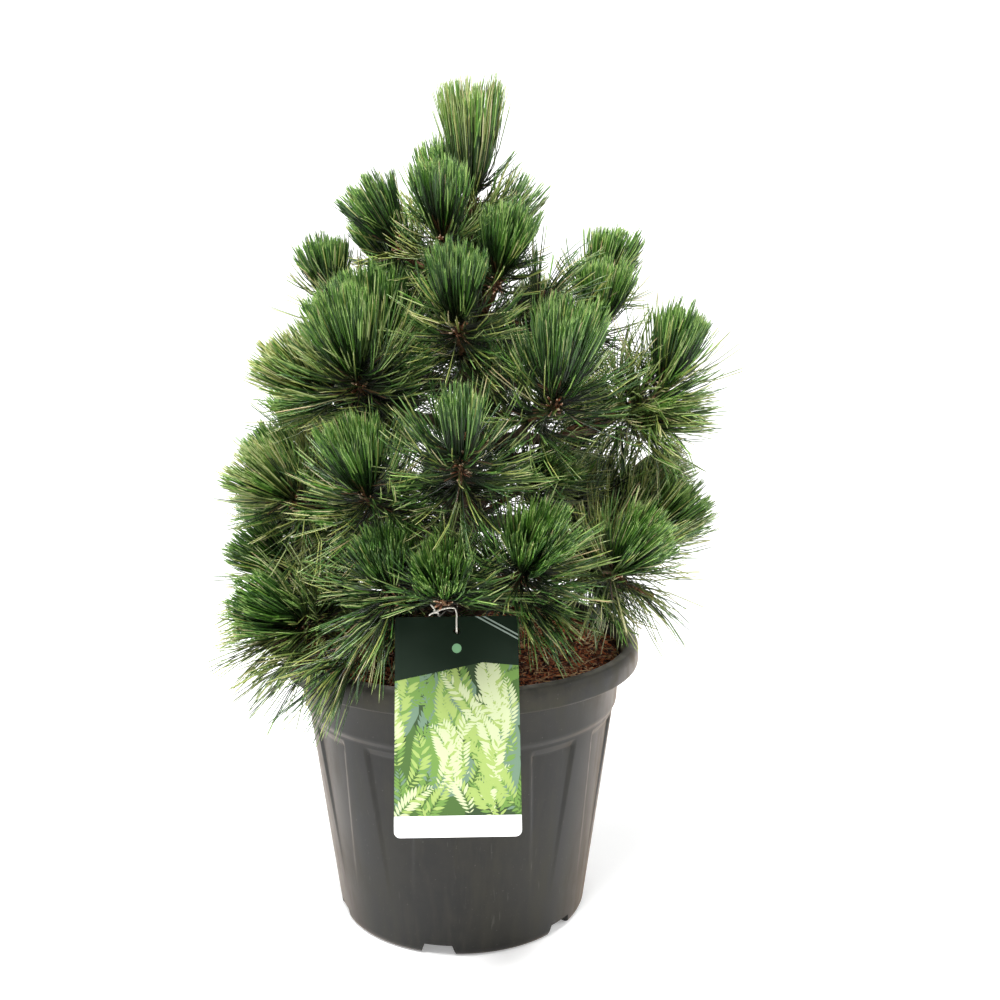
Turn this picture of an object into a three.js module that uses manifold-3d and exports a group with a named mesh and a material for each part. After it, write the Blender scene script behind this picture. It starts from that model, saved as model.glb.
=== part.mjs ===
// A dwarf Bosnian pine in its nursery pot, with a hang label on the rim.
// Millimetres, +Z up. The front, the side with the label, faces -Y.
// While it is built the pot's axis is the Z axis; at the end the whole plant is
// moved sideways so that the middle of its outer box stands on the origin.

import * as THREE from 'three';
import { mergeVertices } from 'three/addons/utils/BufferGeometryUtils.js';
import Module from 'manifold-3d';

const wasm = await Module();
wasm.setup();

// Pot: a moulded black container with a rolled rim, a plain band and fluted sides.
const POT_HEIGHT = 314;
const RIM_RADIUS = 198;
const RIM_SKIRT = 25.5;
const POT_WALL = 3;
const BAND_TOP_RADIUS = 177.5;
const BAND_LOW_RADIUS = 174.6;
const SHOULDER_Z = 240;
const SHOULDER_RADIUS = 171.4;
const FOOT_RADIUS = 134.5;
const FOOT_LINE_RADIUS = 139.7;
const FOOT_RING = 5;
const FLOOR_UNDER = 10;
const FLOOR_TOP = 14;
const POT_SIDES = 36;
const FLUTE_DEPTH = 3;
const FLUTE_TOP_Z = 236;
const FLUTE_FULL_Z = 228;
const FLUTE_END_Z = 55;
const FLUTE_EVERY = 3;
const FLUTE_PHASE = 6;
const NOTCHES = 6;
const NOTCH_PHASE = -9;
const NOTCH_WIDTH = 30;
const NOTCH_HEIGHT = 8.5;
const NOTCH_SLANT = 3;
const NOTCH_DEPTH = 40;

// Soil: bark and coir, a little below the rim, heaped slightly round the trunk.
const SOIL_EDGE_Z = 296;
const SOIL_TOP = 302;
const SOIL_EDGE_RADIUS = 178.7;
const SOIL_SLACK = 3.6;
const SOIL_ROUGHNESS = 2.5;
const SOIL_ROUGH_FROM = 100;
const SOIL_ROUGH_TO = 160;

// Trunk: flat on the soil, flared, leaning a little to the right.
const GAP = 0.3;
const TRUNK_TIP = [15, 0, 768];
const TRUNK_RADIUS = 17;
const TRUNK_TIP_RADIUS = 5;
const FLARE_RADIUS = 27;
const FLARE_SHARE = 0.07;
const TRUNK_SIDES = 9;
const TRUNK_STEPS = 12;

// Limbs and twigs.
const BOUGH_RADIUS = 7;
const BOUGH_TIP_RADIUS = 4;
const BOUGH_RISE = 24;
const BOUGH_SIDES = 5;
const BOUGH_STEPS = 5;
const STEM_LENGTH = 10;
const STEM_RADIUS = 4.2;
const FORK_PULL = 46;
const TWIG_RADIUS = 3.4;
const TWIG_TIP_RADIUS = 2.6;
const TWIG_SIDES = 4;
const TWIG_STEPS = 3;
const BEND_PULL = 0.36;

// Brushes: this year's needles stand up round each candle, a slim core whose top
// is drawn out into needles, the outer ones and the inner ones by turns.
const BRUSH_NEEDLES = 8;
const BRUSH_RADIUS = 26;
const BRUSH_RADIUS_SHARE = 0.14;
const BRUSH_FOOT_RADIUS = 4;
const BRUSH_FOOT_DROP = 2;
const BRUSH_CORE = { radius: 0.5, height: 0.36 };
const BRUSH_NOTCH = { radius: 0.5, height: 0.48 };
const BRUSH_HOLLOW = 0.3;
const INNER_SHARE = 0.45;

// Older needles: flat toothed blades that stand out sideways below each brush.
const BLADE_THICKNESS = 1.5;
const BLADE_NOTCH = 0.4;
const BLADE_TEETH = 3;
const BLADE_SHORT = 0.88;
const OLD_BLADES = 5;
const OLD_LENGTH = 100;
const OLD_TILT = 84;
const OLD_SPREAD = 60;
const OLD_DROOP = 0.14;
const OLD_LEANING_DROOP = 0.2;
const OLD_RAISES = [0, 0.35, 0.7];

// Room for the needles: each shoot keeps to the space nearer to its own middle
// than to any other shoot's, and clear of the limbs, the pot and the label.
const HEART_SHARE = 0.4;
const SHORTEST_SHARE = 0.5;
const LEAST_SHARE = 0.15;
const CELL_MARGIN = 0.5;
const LIMB_CLEARANCE = 3;
const POT_CLEARANCE = 3.5;
const LABEL_CLEARANCE = 5;

// Label: a plastic card that hangs over the rim, on a white tie.
const LABEL_WIDTH = 120;
const LABEL_LENGTH = 208;
const LABEL_THICKNESS = 0.8;
const LABEL_CORNER = 6;
const LABEL_TILT = 25;
const LABEL_ABOVE_RIM = 78;
const LABEL_HOLE = 3.5;
const LABEL_HOLE_DOWN = 14;
const TIE_RADIUS = 0.8;
const TIE_SLACK = 1;

// The crown. Each mass of needles has the height where its bough or stem leaves
// the trunk, and its shoots: azimuth (0 is the right, 90 the back), reach from
// the trunk's foot, height, lean outwards, and length from the bud to the tips.
const LEADER_SHOOT = [0, 15, 787, 2, 120];
const CROWN = [
  // Short shoots straight on the top of the trunk
  onTrunk('top_back', 735, [118, 55, 775, 14, 88]),
  onTrunk('top_front', 690, [255, 57, 744, 10, 84]),
  onTrunk('top_left', 700, [188, 58, 740, 30, 86]),
  onTrunk('top_right', 715, [40, 52, 762, 42, 78]),
  onTrunk('top_low_right', 655, [308, 66, 706, 20, 82]),
  onTrunk('top_back_left', 668, [150, 78, 712, 30, 86]),
  onTrunk('top_back_right', 645, [70, 82, 700, 26, 90]),
  // Upper boughs
  onBough('upper_front', 600, [271, 100, 660, 14, 86]),
  onBough('upper_left', 585, [178, 139, 683, 12, 80]),
  onBough('upper_left_front', 545, [226, 142, 606, 16, 100], [194, 154, 606, 34, 78], [205, 92, 634, 4, 92]),
  onBough('upper_right_back', 575, [22, 168, 688, 14, 76], [1, 152, 648, 6, 76]),
  onBough('upper_right_front', 530, [309, 155, 580, 14, 110]),
  onBough('upper_right', 520, [352, 208, 588, 24, 96]),
  onBough('upper_back_left', 560, [142, 140, 628, 22, 92], [116, 118, 662, 16, 86]),
  onBough('upper_back_right', 550, [58, 150, 622, 24, 92], [86, 140, 646, 18, 88]),
  // Middle boughs
  onBough('middle_front', 445, [272, 180, 528, 18, 88]),
  onBough('middle_front_left', 430, [240, 172, 497, 24, 88]),
  onBough('middle_left', 415, [181, 190, 486, 28, 84], [203, 194, 470, 54, 80]),
  onBough('middle_right', 430, [12, 188, 482, 62, 90]),
  onTrunk('middle_inner', 440, [316, 112, 502, 22, 66]),
  onBough('middle_back_left', 455, [150, 196, 516, 34, 90], [124, 176, 548, 24, 88]),
  onBough('middle_back_right', 440, [48, 196, 500, 36, 90], [84, 188, 528, 28, 90]),
  // Low boughs
  onBough('low_left', 335, [215, 190, 362, 46, 92], [188, 194, 388, 48, 84]),
  onBough('low_front_left', 354, [250, 178, 408, 28, 78]),
  onBough('low_front', 374, [267, 196, 408, 36, 66]),
  onBough('low_front_right', 336, [291, 182, 426, 40, 88]),
  onBough('low_right', 340, [355, 198, 422, 46, 94], [327, 192, 410, 42, 84]),
  onBough('low_back_left', 352, [160, 212, 412, 48, 92], [132, 206, 430, 40, 90]),
  onBough('low_back_right', 340, [28, 204, 404, 50, 92], [56, 204, 424, 42, 90]),
  onBough('low_back', 372, [96, 212, 418, 44, 92]),
];

const PLASTIC = { color: 0x3e3d39, roughness: 0.55, metalness: 0 };
const BARK = { color: 0x4a3a2c, roughness: 0.9, metalness: 0 };
const COIR = { color: 0x7a3f26, roughness: 1, metalness: 0 };
const NEEDLES = { color: 0x4f7442, roughness: 0.6, metalness: 0 };
const LABEL_CARD = { color: 0x2d5a3c, roughness: 0.35, metalness: 0 };
const WHITE_TIE = { color: 0xe6e6e2, roughness: 0.5, metalness: 0 };

const UP = new THREE.Vector3(0, 0, 1);
const plant = new THREE.Group();

// A mass of needles at the end of a bough, or straight on the trunk
function onBough(name, leaves, ...shoots) {
  return { name, leaves, bough: true, shoots };
}

function onTrunk(name, leaves, ...shoots) {
  return { name, leaves, bough: false, shoots };
}

function random(seed) {
  let state = seed;
  return () => {
    state = (state + 0x6d2b79f5) | 0;
    let t = Math.imul(state ^ (state >>> 15), 1 | state);
    t = (t + Math.imul(t ^ (t >>> 7), 61 | t)) ^ t;
    return ((t ^ (t >>> 14)) >>> 0) / 4294967296;
  };
}

function radians(degrees) {
  return THREE.MathUtils.degToRad(degrees);
}

// Closed geometry with its shared points merged and its empty triangles dropped
function closed(geometry) {
  const bare = geometry.clone();
  bare.deleteAttribute('normal');
  bare.deleteAttribute('uv');
  const merged = mergeVertices(bare, 1e-4);
  const index = merged.index.array;
  const kept = [];
  for (let i = 0; i < index.length; i += 3) {
    const [a, b, c] = [index[i], index[i + 1], index[i + 2]];
    if (a !== b && b !== c && c !== a) kept.push(a, b, c);
  }
  merged.setIndex(kept);
  return merged;
}

function toSolid(geometry) {
  const shape = closed(geometry);
  const vertProperties = new Float32Array(shape.attributes.position.array);
  const triVerts = new Uint32Array(shape.index.array);
  return new wasm.Manifold(new wasm.Mesh({ numProp: 3, vertProperties, triVerts }));
}

// The largest body of a solid, without loose scraps or sealed hollows
function toGeometry(solid) {
  const bodies = solid.decompose();
  bodies.sort((a, b) => b.volume() - a.volume());
  const mesh = bodies[0].getMesh();
  const geometry = new THREE.BufferGeometry();
  geometry.setAttribute('position', new THREE.BufferAttribute(mesh.vertProperties, 3));
  geometry.setIndex(new THREE.BufferAttribute(mesh.triVerts, 1));
  return geometry;
}

function addPiece(name, geometry, finish) {
  const mesh = new THREE.Mesh(geometry, new THREE.MeshStandardMaterial(finish));
  mesh.name = name;
  plant.add(mesh);
}

// A round limb along a curve: a cylinder whose rings are laid on the curve
function limb(curve, radiusAt, sides, steps) {
  const geometry = new THREE.CylinderGeometry(1, 1, 1, sides, steps);
  const frames = curve.computeFrenetFrames(steps, false);
  const position = geometry.attributes.position;
  for (let i = 0; i < position.count; i += 1) {
    const t = position.getY(i) + 0.5;
    const ring = Math.round(t * steps);
    const radius = radiusAt(t);
    const point = curve.getPointAt(t);
    point.addScaledVector(frames.normals[ring], position.getX(i) * radius);
    point.addScaledVector(frames.binormals[ring], -position.getZ(i) * radius);
    position.setXYZ(i, point.x, point.y, point.z);
  }
  return geometry;
}

function taper(from, to) {
  return (t) => from + (to - from) * t;
}

// Direction at an azimuth, leaning away from upright by so many degrees
function leaning(azimuth, lean) {
  const out = Math.sin(radians(lean));
  return new THREE.Vector3(
    out * Math.cos(radians(azimuth)),
    out * Math.sin(radians(azimuth)),
    Math.cos(radians(lean)),
  );
}

function latheUp(points, sides, phase) {
  const outline = points.map(([radius, z]) => new THREE.Vector2(radius, z));
  const geometry = new THREE.LatheGeometry(outline, sides, radians(phase));
  geometry.rotateX(Math.PI / 2);
  return geometry;
}

// Pot

function wallRadius(z) {
  return FOOT_LINE_RADIUS + (SHOULDER_RADIUS - FOOT_LINE_RADIUS) * (z / SHOULDER_Z);
}

// The outline runs from the middle of the floor up the inside, over the rolled rim
// and down the outside to the foot ring.
function potGeometry() {
  const rimLow = POT_HEIGHT - RIM_SKIRT;
  const inner = (z) => wallRadius(z) - POT_WALL;
  const outline = [
    [0, FLOOR_TOP],
    [inner(FLOOR_TOP), FLOOR_TOP],
    [inner(FLUTE_FULL_Z), FLUTE_FULL_Z],
    [inner(FLUTE_TOP_Z), FLUTE_TOP_Z],
    [BAND_TOP_RADIUS - POT_WALL, rimLow - 3],
    [RIM_RADIUS - 17, POT_HEIGHT - 14],
    [RIM_RADIUS - 14, POT_HEIGHT - 3.5],
    [RIM_RADIUS - 8, POT_HEIGHT],
    [RIM_RADIUS - 3.5, POT_HEIGHT - 2],
    [RIM_RADIUS, POT_HEIGHT - 8],
    [RIM_RADIUS, rimLow],
    [RIM_RADIUS - POT_WALL, rimLow],
    [RIM_RADIUS - POT_WALL, POT_HEIGHT - 10],
    [RIM_RADIUS - 8, POT_HEIGHT - 5],
    [RIM_RADIUS - 13, POT_HEIGHT - 12],
    [BAND_TOP_RADIUS, rimLow - 2.5],
    [BAND_LOW_RADIUS, SHOULDER_Z + 5],
    [SHOULDER_RADIUS, SHOULDER_Z],
    [wallRadius(FLUTE_TOP_Z), FLUTE_TOP_Z],
    [wallRadius(FLUTE_FULL_Z), FLUTE_FULL_Z],
    [wallRadius(FLUTE_END_Z), FLUTE_END_Z],
    [wallRadius(8), 8],
    [FOOT_RADIUS + 4.3, 2.5],
    [FOOT_RADIUS, 0],
    [FOOT_RADIUS - FOOT_RING, 0],
    [FOOT_RADIUS - FOOT_RING, FLOOR_UNDER],
    [0, FLOOR_UNDER],
  ];
  return latheUp(outline.reverse(), POT_SIDES, FLUTE_PHASE);
}

// Each third line of the wall is pressed in, which makes the flutes
function pressFlutes(geometry) {
  const position = geometry.attributes.position;
  for (let i = 0; i < position.count; i += 1) {
    const z = position.getZ(i);
    const radius = Math.hypot(position.getX(i), position.getY(i));
    const pressed = Math.abs(z - FLUTE_FULL_Z) < 0.01;
    const angle = Math.atan2(position.getX(i), -position.getY(i));
    const line = Math.round((THREE.MathUtils.radToDeg(angle) - FLUTE_PHASE) / (360 / POT_SIDES));
    if (!pressed || radius < 1 || ((line % FLUTE_EVERY) + FLUTE_EVERY) % FLUTE_EVERY !== 0) continue;
    const scale = (radius - FLUTE_DEPTH) / radius;
    position.setX(i, position.getX(i) * scale);
    position.setY(i, position.getY(i) * scale);
  }
}

function notchSolid(turn) {
  const outline = new THREE.Shape();
  outline.moveTo(-NOTCH_WIDTH / 2, -1);
  outline.lineTo(NOTCH_WIDTH / 2, -1);
  outline.lineTo(NOTCH_WIDTH / 2 - NOTCH_SLANT, NOTCH_HEIGHT);
  outline.lineTo(-NOTCH_WIDTH / 2 + NOTCH_SLANT, NOTCH_HEIGHT);
  const geometry = new THREE.ExtrudeGeometry(outline, { depth: NOTCH_DEPTH, bevelEnabled: false });
  geometry.rotateX(Math.PI / 2);
  geometry.translate(0, NOTCH_DEPTH * 0.6 - FOOT_RADIUS, 0);
  geometry.rotateZ(radians(turn));
  return toSolid(geometry);
}

function makePot() {
  const shell = potGeometry();
  pressFlutes(shell);
  let solid = toSolid(shell);
  for (let k = 0; k < NOTCHES; k += 1) {
    solid = solid.subtract(notchSolid(NOTCH_PHASE + (360 / NOTCHES) * k));
  }
  addPiece('pot', toGeometry(solid), PLASTIC);
}

// Soil

function makeSoil() {
  const noise = random(11);
  const inner = (z) => wallRadius(z) - POT_WALL - SOIL_SLACK;
  const outline = [
    [0, FLOOR_TOP + GAP],
    [inner(FLOOR_TOP), FLOOR_TOP + GAP],
    [inner(FLUTE_TOP_Z), FLUTE_TOP_Z],
    [BAND_TOP_RADIUS - POT_WALL - 1, POT_HEIGHT - RIM_SKIRT - 3.5],
    [SOIL_EDGE_RADIUS, SOIL_EDGE_Z],
    [150, SOIL_EDGE_Z + 3],
    [70, SOIL_TOP],
    [0, SOIL_TOP],
  ];
  const geometry = closed(latheUp(outline, POT_SIDES, FLUTE_PHASE));
  const position = geometry.attributes.position;
  for (let i = 0; i < position.count; i += 1) {
    const radius = Math.hypot(position.getX(i), position.getY(i));
    const lift = (noise() - 0.5) * 2 * SOIL_ROUGHNESS;
    if (radius > SOIL_ROUGH_FROM && radius < SOIL_ROUGH_TO && position.getZ(i) > SOIL_EDGE_Z) {
      position.setZ(i, position.getZ(i) + lift);
    }
  }
  addPiece('soil', geometry, COIR);
}

// Trunk

const trunkFoot = new THREE.Vector3(0, 0, SOIL_TOP + GAP);
const trunkTip = new THREE.Vector3(...TRUNK_TIP);
const trunkCurve = new THREE.CubicBezierCurve3(
  trunkFoot,
  new THREE.Vector3(0, 0, 450),
  new THREE.Vector3(trunkTip.x - 2, 6, 620),
  trunkTip,
);

function trunkRadius(t) {
  const flare = (FLARE_RADIUS - TRUNK_RADIUS) * Math.max(0, 1 - t / FLARE_SHARE) ** 2;
  return TRUNK_RADIUS + (TRUNK_TIP_RADIUS - TRUNK_RADIUS) * t + flare;
}

function trunkGeometry(extra) {
  return limb(trunkCurve, (t) => trunkRadius(t) + extra, TRUNK_SIDES, TRUNK_STEPS);
}

// The point of the trunk's middle line at a height
function trunkAt(z) {
  let low = 0;
  let high = 1;
  for (let k = 0; k < 30; k += 1) {
    const middle = (low + high) / 2;
    if (trunkCurve.getPointAt(middle).z < z) low = middle;
    else high = middle;
  }
  return trunkCurve.getPointAt(low);
}

const trunkWithGap = toSolid(trunkGeometry(GAP));

function makeTrunk() {
  addPiece('trunk', closed(trunkGeometry(0)), BARK);
}

// Skeleton of the crown: for each mass, its bough, stem, twigs and candles

function shootOf([azimuth, reach, height, lean, length]) {
  const flat = new THREE.Vector3(Math.cos(radians(azimuth)), Math.sin(radians(azimuth)), 0);
  const bud = flat.multiplyScalar(reach).setZ(height);
  return { bud, axis: leaning(azimuth, lean), length };
}

function bend(from, fromWay, to, toWay) {
  const span = from.distanceTo(to);
  return new THREE.CubicBezierCurve3(
    from,
    from.clone().addScaledVector(fromWay, span * BEND_PULL),
    to.clone().addScaledVector(toWay, -span * BEND_PULL),
    to,
  );
}

function skeleton({ name, leaves, bough, shoots: rows }) {
  const shoots = rows.map(shootOf);
  const from = trunkAt(leaves);
  const middle = new THREE.Vector3();
  const way = new THREE.Vector3();
  for (const shoot of shoots) {
    middle.addScaledVector(shoot.bud, 1 / shoots.length);
    way.addScaledVector(shoot.axis, 1 / shoots.length);
  }
  const out = middle.clone().sub(from).setZ(0).normalize();
  const leave = out.clone().multiplyScalar(Math.cos(radians(BOUGH_RISE)));
  leave.setZ(Math.sin(radians(BOUGH_RISE)));
  if (!bough) {
    const stem = bend(from, leave, shoots[0].bud, shoots[0].axis);
    return { name, bough, shoots, limbs: [{ curve: stem, from: STEM_RADIUS, to: TWIG_TIP_RADIUS }] };
  }
  const pull = middle.clone().sub(from).normalize();
  const fork = middle.clone().addScaledVector(pull, -FORK_PULL);
  fork.z = Math.max(fork.z - FORK_PULL * 0.2, from.z + 8);
  const arrive = way.clone().normalize().add(pull).normalize();
  const boughCurve = bend(from, leave, fork, arrive);
  const stemFoot = fork.clone().addScaledVector(arrive, GAP);
  const stemHead = fork.clone().addScaledVector(arrive, STEM_LENGTH);
  const stem = new THREE.LineCurve3(stemFoot, stemHead);
  const root = fork.clone().addScaledVector(arrive, STEM_LENGTH * 0.55);
  const limbs = [{ curve: stem, from: BOUGH_TIP_RADIUS, to: BOUGH_TIP_RADIUS }];
  for (const shoot of shoots) {
    const twig = bend(root, arrive, shoot.bud, shoot.axis);
    limbs.push({ curve: twig, from: TWIG_RADIUS, to: TWIG_TIP_RADIUS });
  }
  return { name, bough, shoots, limbs, boughCurve };
}

function leaderSkeleton() {
  const shoot = shootOf(LEADER_SHOOT);
  const foot = trunkTip.clone().addScaledVector(UP, GAP);
  const stem = new THREE.LineCurve3(foot, shoot.bud);
  return {
    name: 'leader',
    bough: false,
    shoots: [shoot],
    limbs: [{ curve: stem, from: TRUNK_TIP_RADIUS, to: TWIG_TIP_RADIUS + 1 }],
  };
}

const masses = [leaderSkeleton(), ...CROWN.map(skeleton)];

// Every limb as short straight stretches, for keeping needles clear of them
function stretches(curve, radiusAt, owner, steps) {
  const list = [];
  for (let k = 0; k < steps; k += 1) {
    const [a, b] = [k / steps, (k + 1) / steps];
    const radius = Math.max(radiusAt(a), radiusAt(b));
    list.push({ from: curve.getPointAt(a), to: curve.getPointAt(b), radius, owner });
  }
  return list;
}

const obstacles = stretches(trunkCurve, trunkRadius, 'trunk', 14);
for (const mass of masses) {
  if (mass.bough) {
    obstacles.push(...stretches(mass.boughCurve, taper(BOUGH_RADIUS, BOUGH_TIP_RADIUS), 'bough', 8));
  }
  for (const { curve, from, to } of mass.limbs) {
    obstacles.push(...stretches(curve, taper(from, to), mass.name, 5));
  }
  for (const { bud, axis, length } of mass.shoots) {
    const tip = bud.clone().addScaledVector(axis, length * BRUSH_CORE.height);
    obstacles.push({ from: bud, to: tip, radius: TWIG_TIP_RADIUS, owner: mass.name });
  }
}

// Least distance between two straight stretches
function distanceBetween(p1, q1, p2, q2) {
  const d1 = q1.clone().sub(p1);
  const d2 = q2.clone().sub(p2);
  const r = p1.clone().sub(p2);
  const a = d1.dot(d1);
  const e = d2.dot(d2);
  const f = d2.dot(r);
  const c = d1.dot(r);
  const b = d1.dot(d2);
  const denominator = a * e - b * b;
  let s = denominator > 1e-9 ? THREE.MathUtils.clamp((b * f - c * e) / denominator, 0, 1) : 0;
  let t = (b * s + f) / e;
  if (t < 0) {
    t = 0;
    s = THREE.MathUtils.clamp(-c / a, 0, 1);
  } else if (t > 1) {
    t = 1;
    s = THREE.MathUtils.clamp((b - c) / a, 0, 1);
  }
  return p1.clone().addScaledVector(d1, s).distanceTo(p2.clone().addScaledVector(d2, t));
}

// The middle of a shoot's space
function heart({ bud, axis, length }) {
  return bud.clone().addScaledVector(axis, length * HEART_SHARE);
}

// Label: its frame is the card's middle, with X across it and Y up along it

const labelFrame = new THREE.Matrix4();
const rimTouch = new THREE.Vector3(-3, -RIM_RADIUS - 0.8, POT_HEIGHT - 6);
const labelUp = new THREE.Vector3(0, Math.sin(radians(LABEL_TILT)), Math.cos(radians(LABEL_TILT)));
const labelAcross = new THREE.Vector3(1, 0, 0);
const labelOut = new THREE.Vector3().crossVectors(labelAcross, labelUp);
const labelMiddle = rimTouch
  .clone()
  .addScaledVector(labelUp, LABEL_ABOVE_RIM - LABEL_LENGTH / 2)
  .addScaledVector(labelOut, LABEL_THICKNESS / 2);
labelFrame.makeBasis(labelAcross, labelUp, labelOut).setPosition(labelMiddle);
const labelInverse = labelFrame.clone().invert();

function labelOutline() {
  const [x, y, r] = [LABEL_WIDTH / 2, LABEL_LENGTH / 2, LABEL_CORNER];
  const outline = new THREE.Shape();
  outline.moveTo(-x, y);
  outline.lineTo(-x, -y + r);
  outline.absarc(-x + r, -y + r, r, Math.PI, Math.PI * 1.5, false);
  outline.lineTo(x - r, -y);
  outline.absarc(x - r, -y + r, r, Math.PI * 1.5, Math.PI * 2, false);
  outline.lineTo(x, y);
  const hole = new THREE.Path();
  hole.absarc(0, y - LABEL_HOLE_DOWN, LABEL_HOLE, 0, Math.PI * 2, true);
  outline.holes.push(hole);
  return outline;
}

function makeLabel() {
  const geometry = new THREE.ExtrudeGeometry(labelOutline(), {
    depth: LABEL_THICKNESS,
    bevelEnabled: false,
    curveSegments: 4,
  });
  geometry.translate(0, 0, -LABEL_THICKNESS / 2);
  geometry.applyMatrix4(labelFrame);
  addPiece('label', closed(geometry), LABEL_CARD);
}

// Tie: a ring round the front bough, and a strand over the card and through its hole

const TIE_BOUGH = 'low_front';
const TIE_PLACE = 0.8;
const tieBough = masses.find((mass) => mass.name === TIE_BOUGH).boughCurve;
const tiePoint = tieBough.getPointAt(TIE_PLACE);
const tieWay = tieBough.getTangentAt(TIE_PLACE);
const tieRing = taper(BOUGH_RADIUS, BOUGH_TIP_RADIUS)(TIE_PLACE) + TIE_RADIUS + TIE_SLACK;

function onLabel(across, down, out) {
  return new THREE.Vector3(across, LABEL_LENGTH / 2 - down, out).applyMatrix4(labelFrame);
}

const tieStart = new THREE.Vector3(-1, 0, -1).normalize().multiplyScalar(tieRing).add(tiePoint);
const tieStrand = new THREE.CatmullRomCurve3([
  tieStart,
  onLabel(-17, -3, -14),
  onLabel(-12, -5, 0),
  onLabel(-2, -3, 2.2),
  onLabel(0, 4, 2.6),
  onLabel(0, LABEL_HOLE_DOWN - 3, 2.4),
  onLabel(0, LABEL_HOLE_DOWN, 0),
  onLabel(0, LABEL_HOLE_DOWN + 1.5, -4),
]);
obstacles.push(...stretches(tieStrand, () => TIE_RADIUS, 'tie', 12));

function makeTie() {
  const ring = new THREE.TorusGeometry(tieRing, TIE_RADIUS, 5, 10);
  ring.applyQuaternion(new THREE.Quaternion().setFromUnitVectors(UP, tieWay));
  ring.translate(tiePoint.x, tiePoint.y, tiePoint.z);
  const strand = limb(tieStrand, () => TIE_RADIUS, 5, 16);
  addPiece('label_tie', toGeometry(toSolid(ring).add(toSolid(strand))), WHITE_TIE);
}

// Boughs are cut back from the trunk, with a narrow gap

function makeBough({ name, boughCurve }) {
  const radiusAt = taper(BOUGH_RADIUS, BOUGH_TIP_RADIUS);
  const solid = toSolid(limb(boughCurve, radiusAt, BOUGH_SIDES, BOUGH_STEPS));
  addPiece(`bough_${name}`, toGeometry(solid.subtract(trunkWithGap)), BARK);
}

// Sprays of needles

// The frame of a blade: Y runs along it and Z is square to its flat side
function bladeFrame(root, way, side) {
  const across = side.clone().addScaledVector(way, -side.dot(way)).normalize();
  const square = new THREE.Vector3().crossVectors(across, way);
  return new THREE.Matrix4().makeBasis(across, way, square).setPosition(root);
}

const hearts = masses.flatMap((mass) => mass.shoots.map(heart));

function insideSpace(point, shoot) {
  const own = heart(shoot);
  const reach = point.clone().sub(own);
  return hearts.every((at) => {
    const way = at.clone().sub(own);
    const half = way.length() / 2;
    return half === 0 || reach.dot(way.normalize()) < half - CELL_MARGIN;
  });
}

function clearOfPot(from, to) {
  for (let k = 0; k <= 10; k += 1) {
    const point = from.clone().lerp(to, k / 10);
    const inside = Math.hypot(point.x, point.y) < RIM_RADIUS + POT_CLEARANCE;
    if (inside && point.z < POT_HEIGHT + POT_CLEARANCE) return false;
  }
  return true;
}

function clearOfLabel(from, to) {
  for (let k = 0; k <= 24; k += 1) {
    const point = from.clone().lerp(to, k / 24).applyMatrix4(labelInverse);
    const beside = Math.abs(point.x) - LABEL_WIDTH / 2;
    const beyond = Math.abs(point.y) - LABEL_LENGTH / 2;
    if (Math.max(beside, beyond, Math.abs(point.z)) < LABEL_CLEARANCE) return false;
  }
  return true;
}

function clearOfLimbs(from, to, owner) {
  return obstacles.every((stretch) => {
    if (stretch.owner === owner) return true;
    return distanceBetween(from, to, stretch.from, stretch.to) > stretch.radius + LIMB_CLEARANCE;
  });
}

function hasRoom(from, to, shoot, owner) {
  return insideSpace(to, shoot)
    && clearOfPot(from, to)
    && clearOfLabel(from, to)
    && clearOfLimbs(from, to, owner);
}

// How much of the way from one point to another is free
function freeShare(from, to, shoot, owner) {
  for (let share = 1; share > LEAST_SHARE + 0.1; share -= 0.1) {
    if (hasRoom(from, from.clone().lerp(to, share), shoot, owner)) return share;
  }
  return LEAST_SHARE;
}

// A fan of needles that share one root, each as long as its space allows, or
// nothing where there is no room
function blade(root, way, side, length, shoot, owner) {
  const frame = bladeFrame(root, way, side);
  const at = (angle, reach) => new THREE.Vector3(Math.sin(angle) * reach, Math.cos(angle) * reach, 0);
  const step = radians(OLD_SPREAD) / (BLADE_TEETH - 1);
  const outline = [new THREE.Vector3()];
  let longest = 0;
  for (let k = 0; k < BLADE_TEETH; k += 1) {
    const angle = radians(OLD_SPREAD) / 2 - step * k;
    const tip = at(angle, length * (k % 2 === 0 ? 1 : BLADE_SHORT));
    const share = freeShare(root, tip.clone().applyMatrix4(frame), shoot, owner);
    longest = Math.max(longest, share);
    if (k > 0) {
      const notch = at(angle + step / 2, length * BLADE_NOTCH);
      const notchShare = freeShare(root, notch.clone().applyMatrix4(frame), shoot, owner);
      outline.push(notch.multiplyScalar(Math.min(notchShare, share)));
    }
    outline.push(tip.multiplyScalar(share));
  }
  if (longest < SHORTEST_SHARE) return null;
  const geometry = new THREE.ExtrudeGeometry(new THREE.Shape(outline), {
    depth: BLADE_THICKNESS,
    bevelEnabled: false,
  });
  geometry.translate(0, 0, -BLADE_THICKNESS / 2);
  geometry.applyMatrix4(frame);
  return toSolid(geometry);
}

// Two directions square to an axis
function aroundAxis(axis) {
  const first = new THREE.Vector3(1, 0, 0).addScaledVector(axis, -axis.x).normalize();
  return [first, new THREE.Vector3().crossVectors(axis, first)];
}

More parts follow.
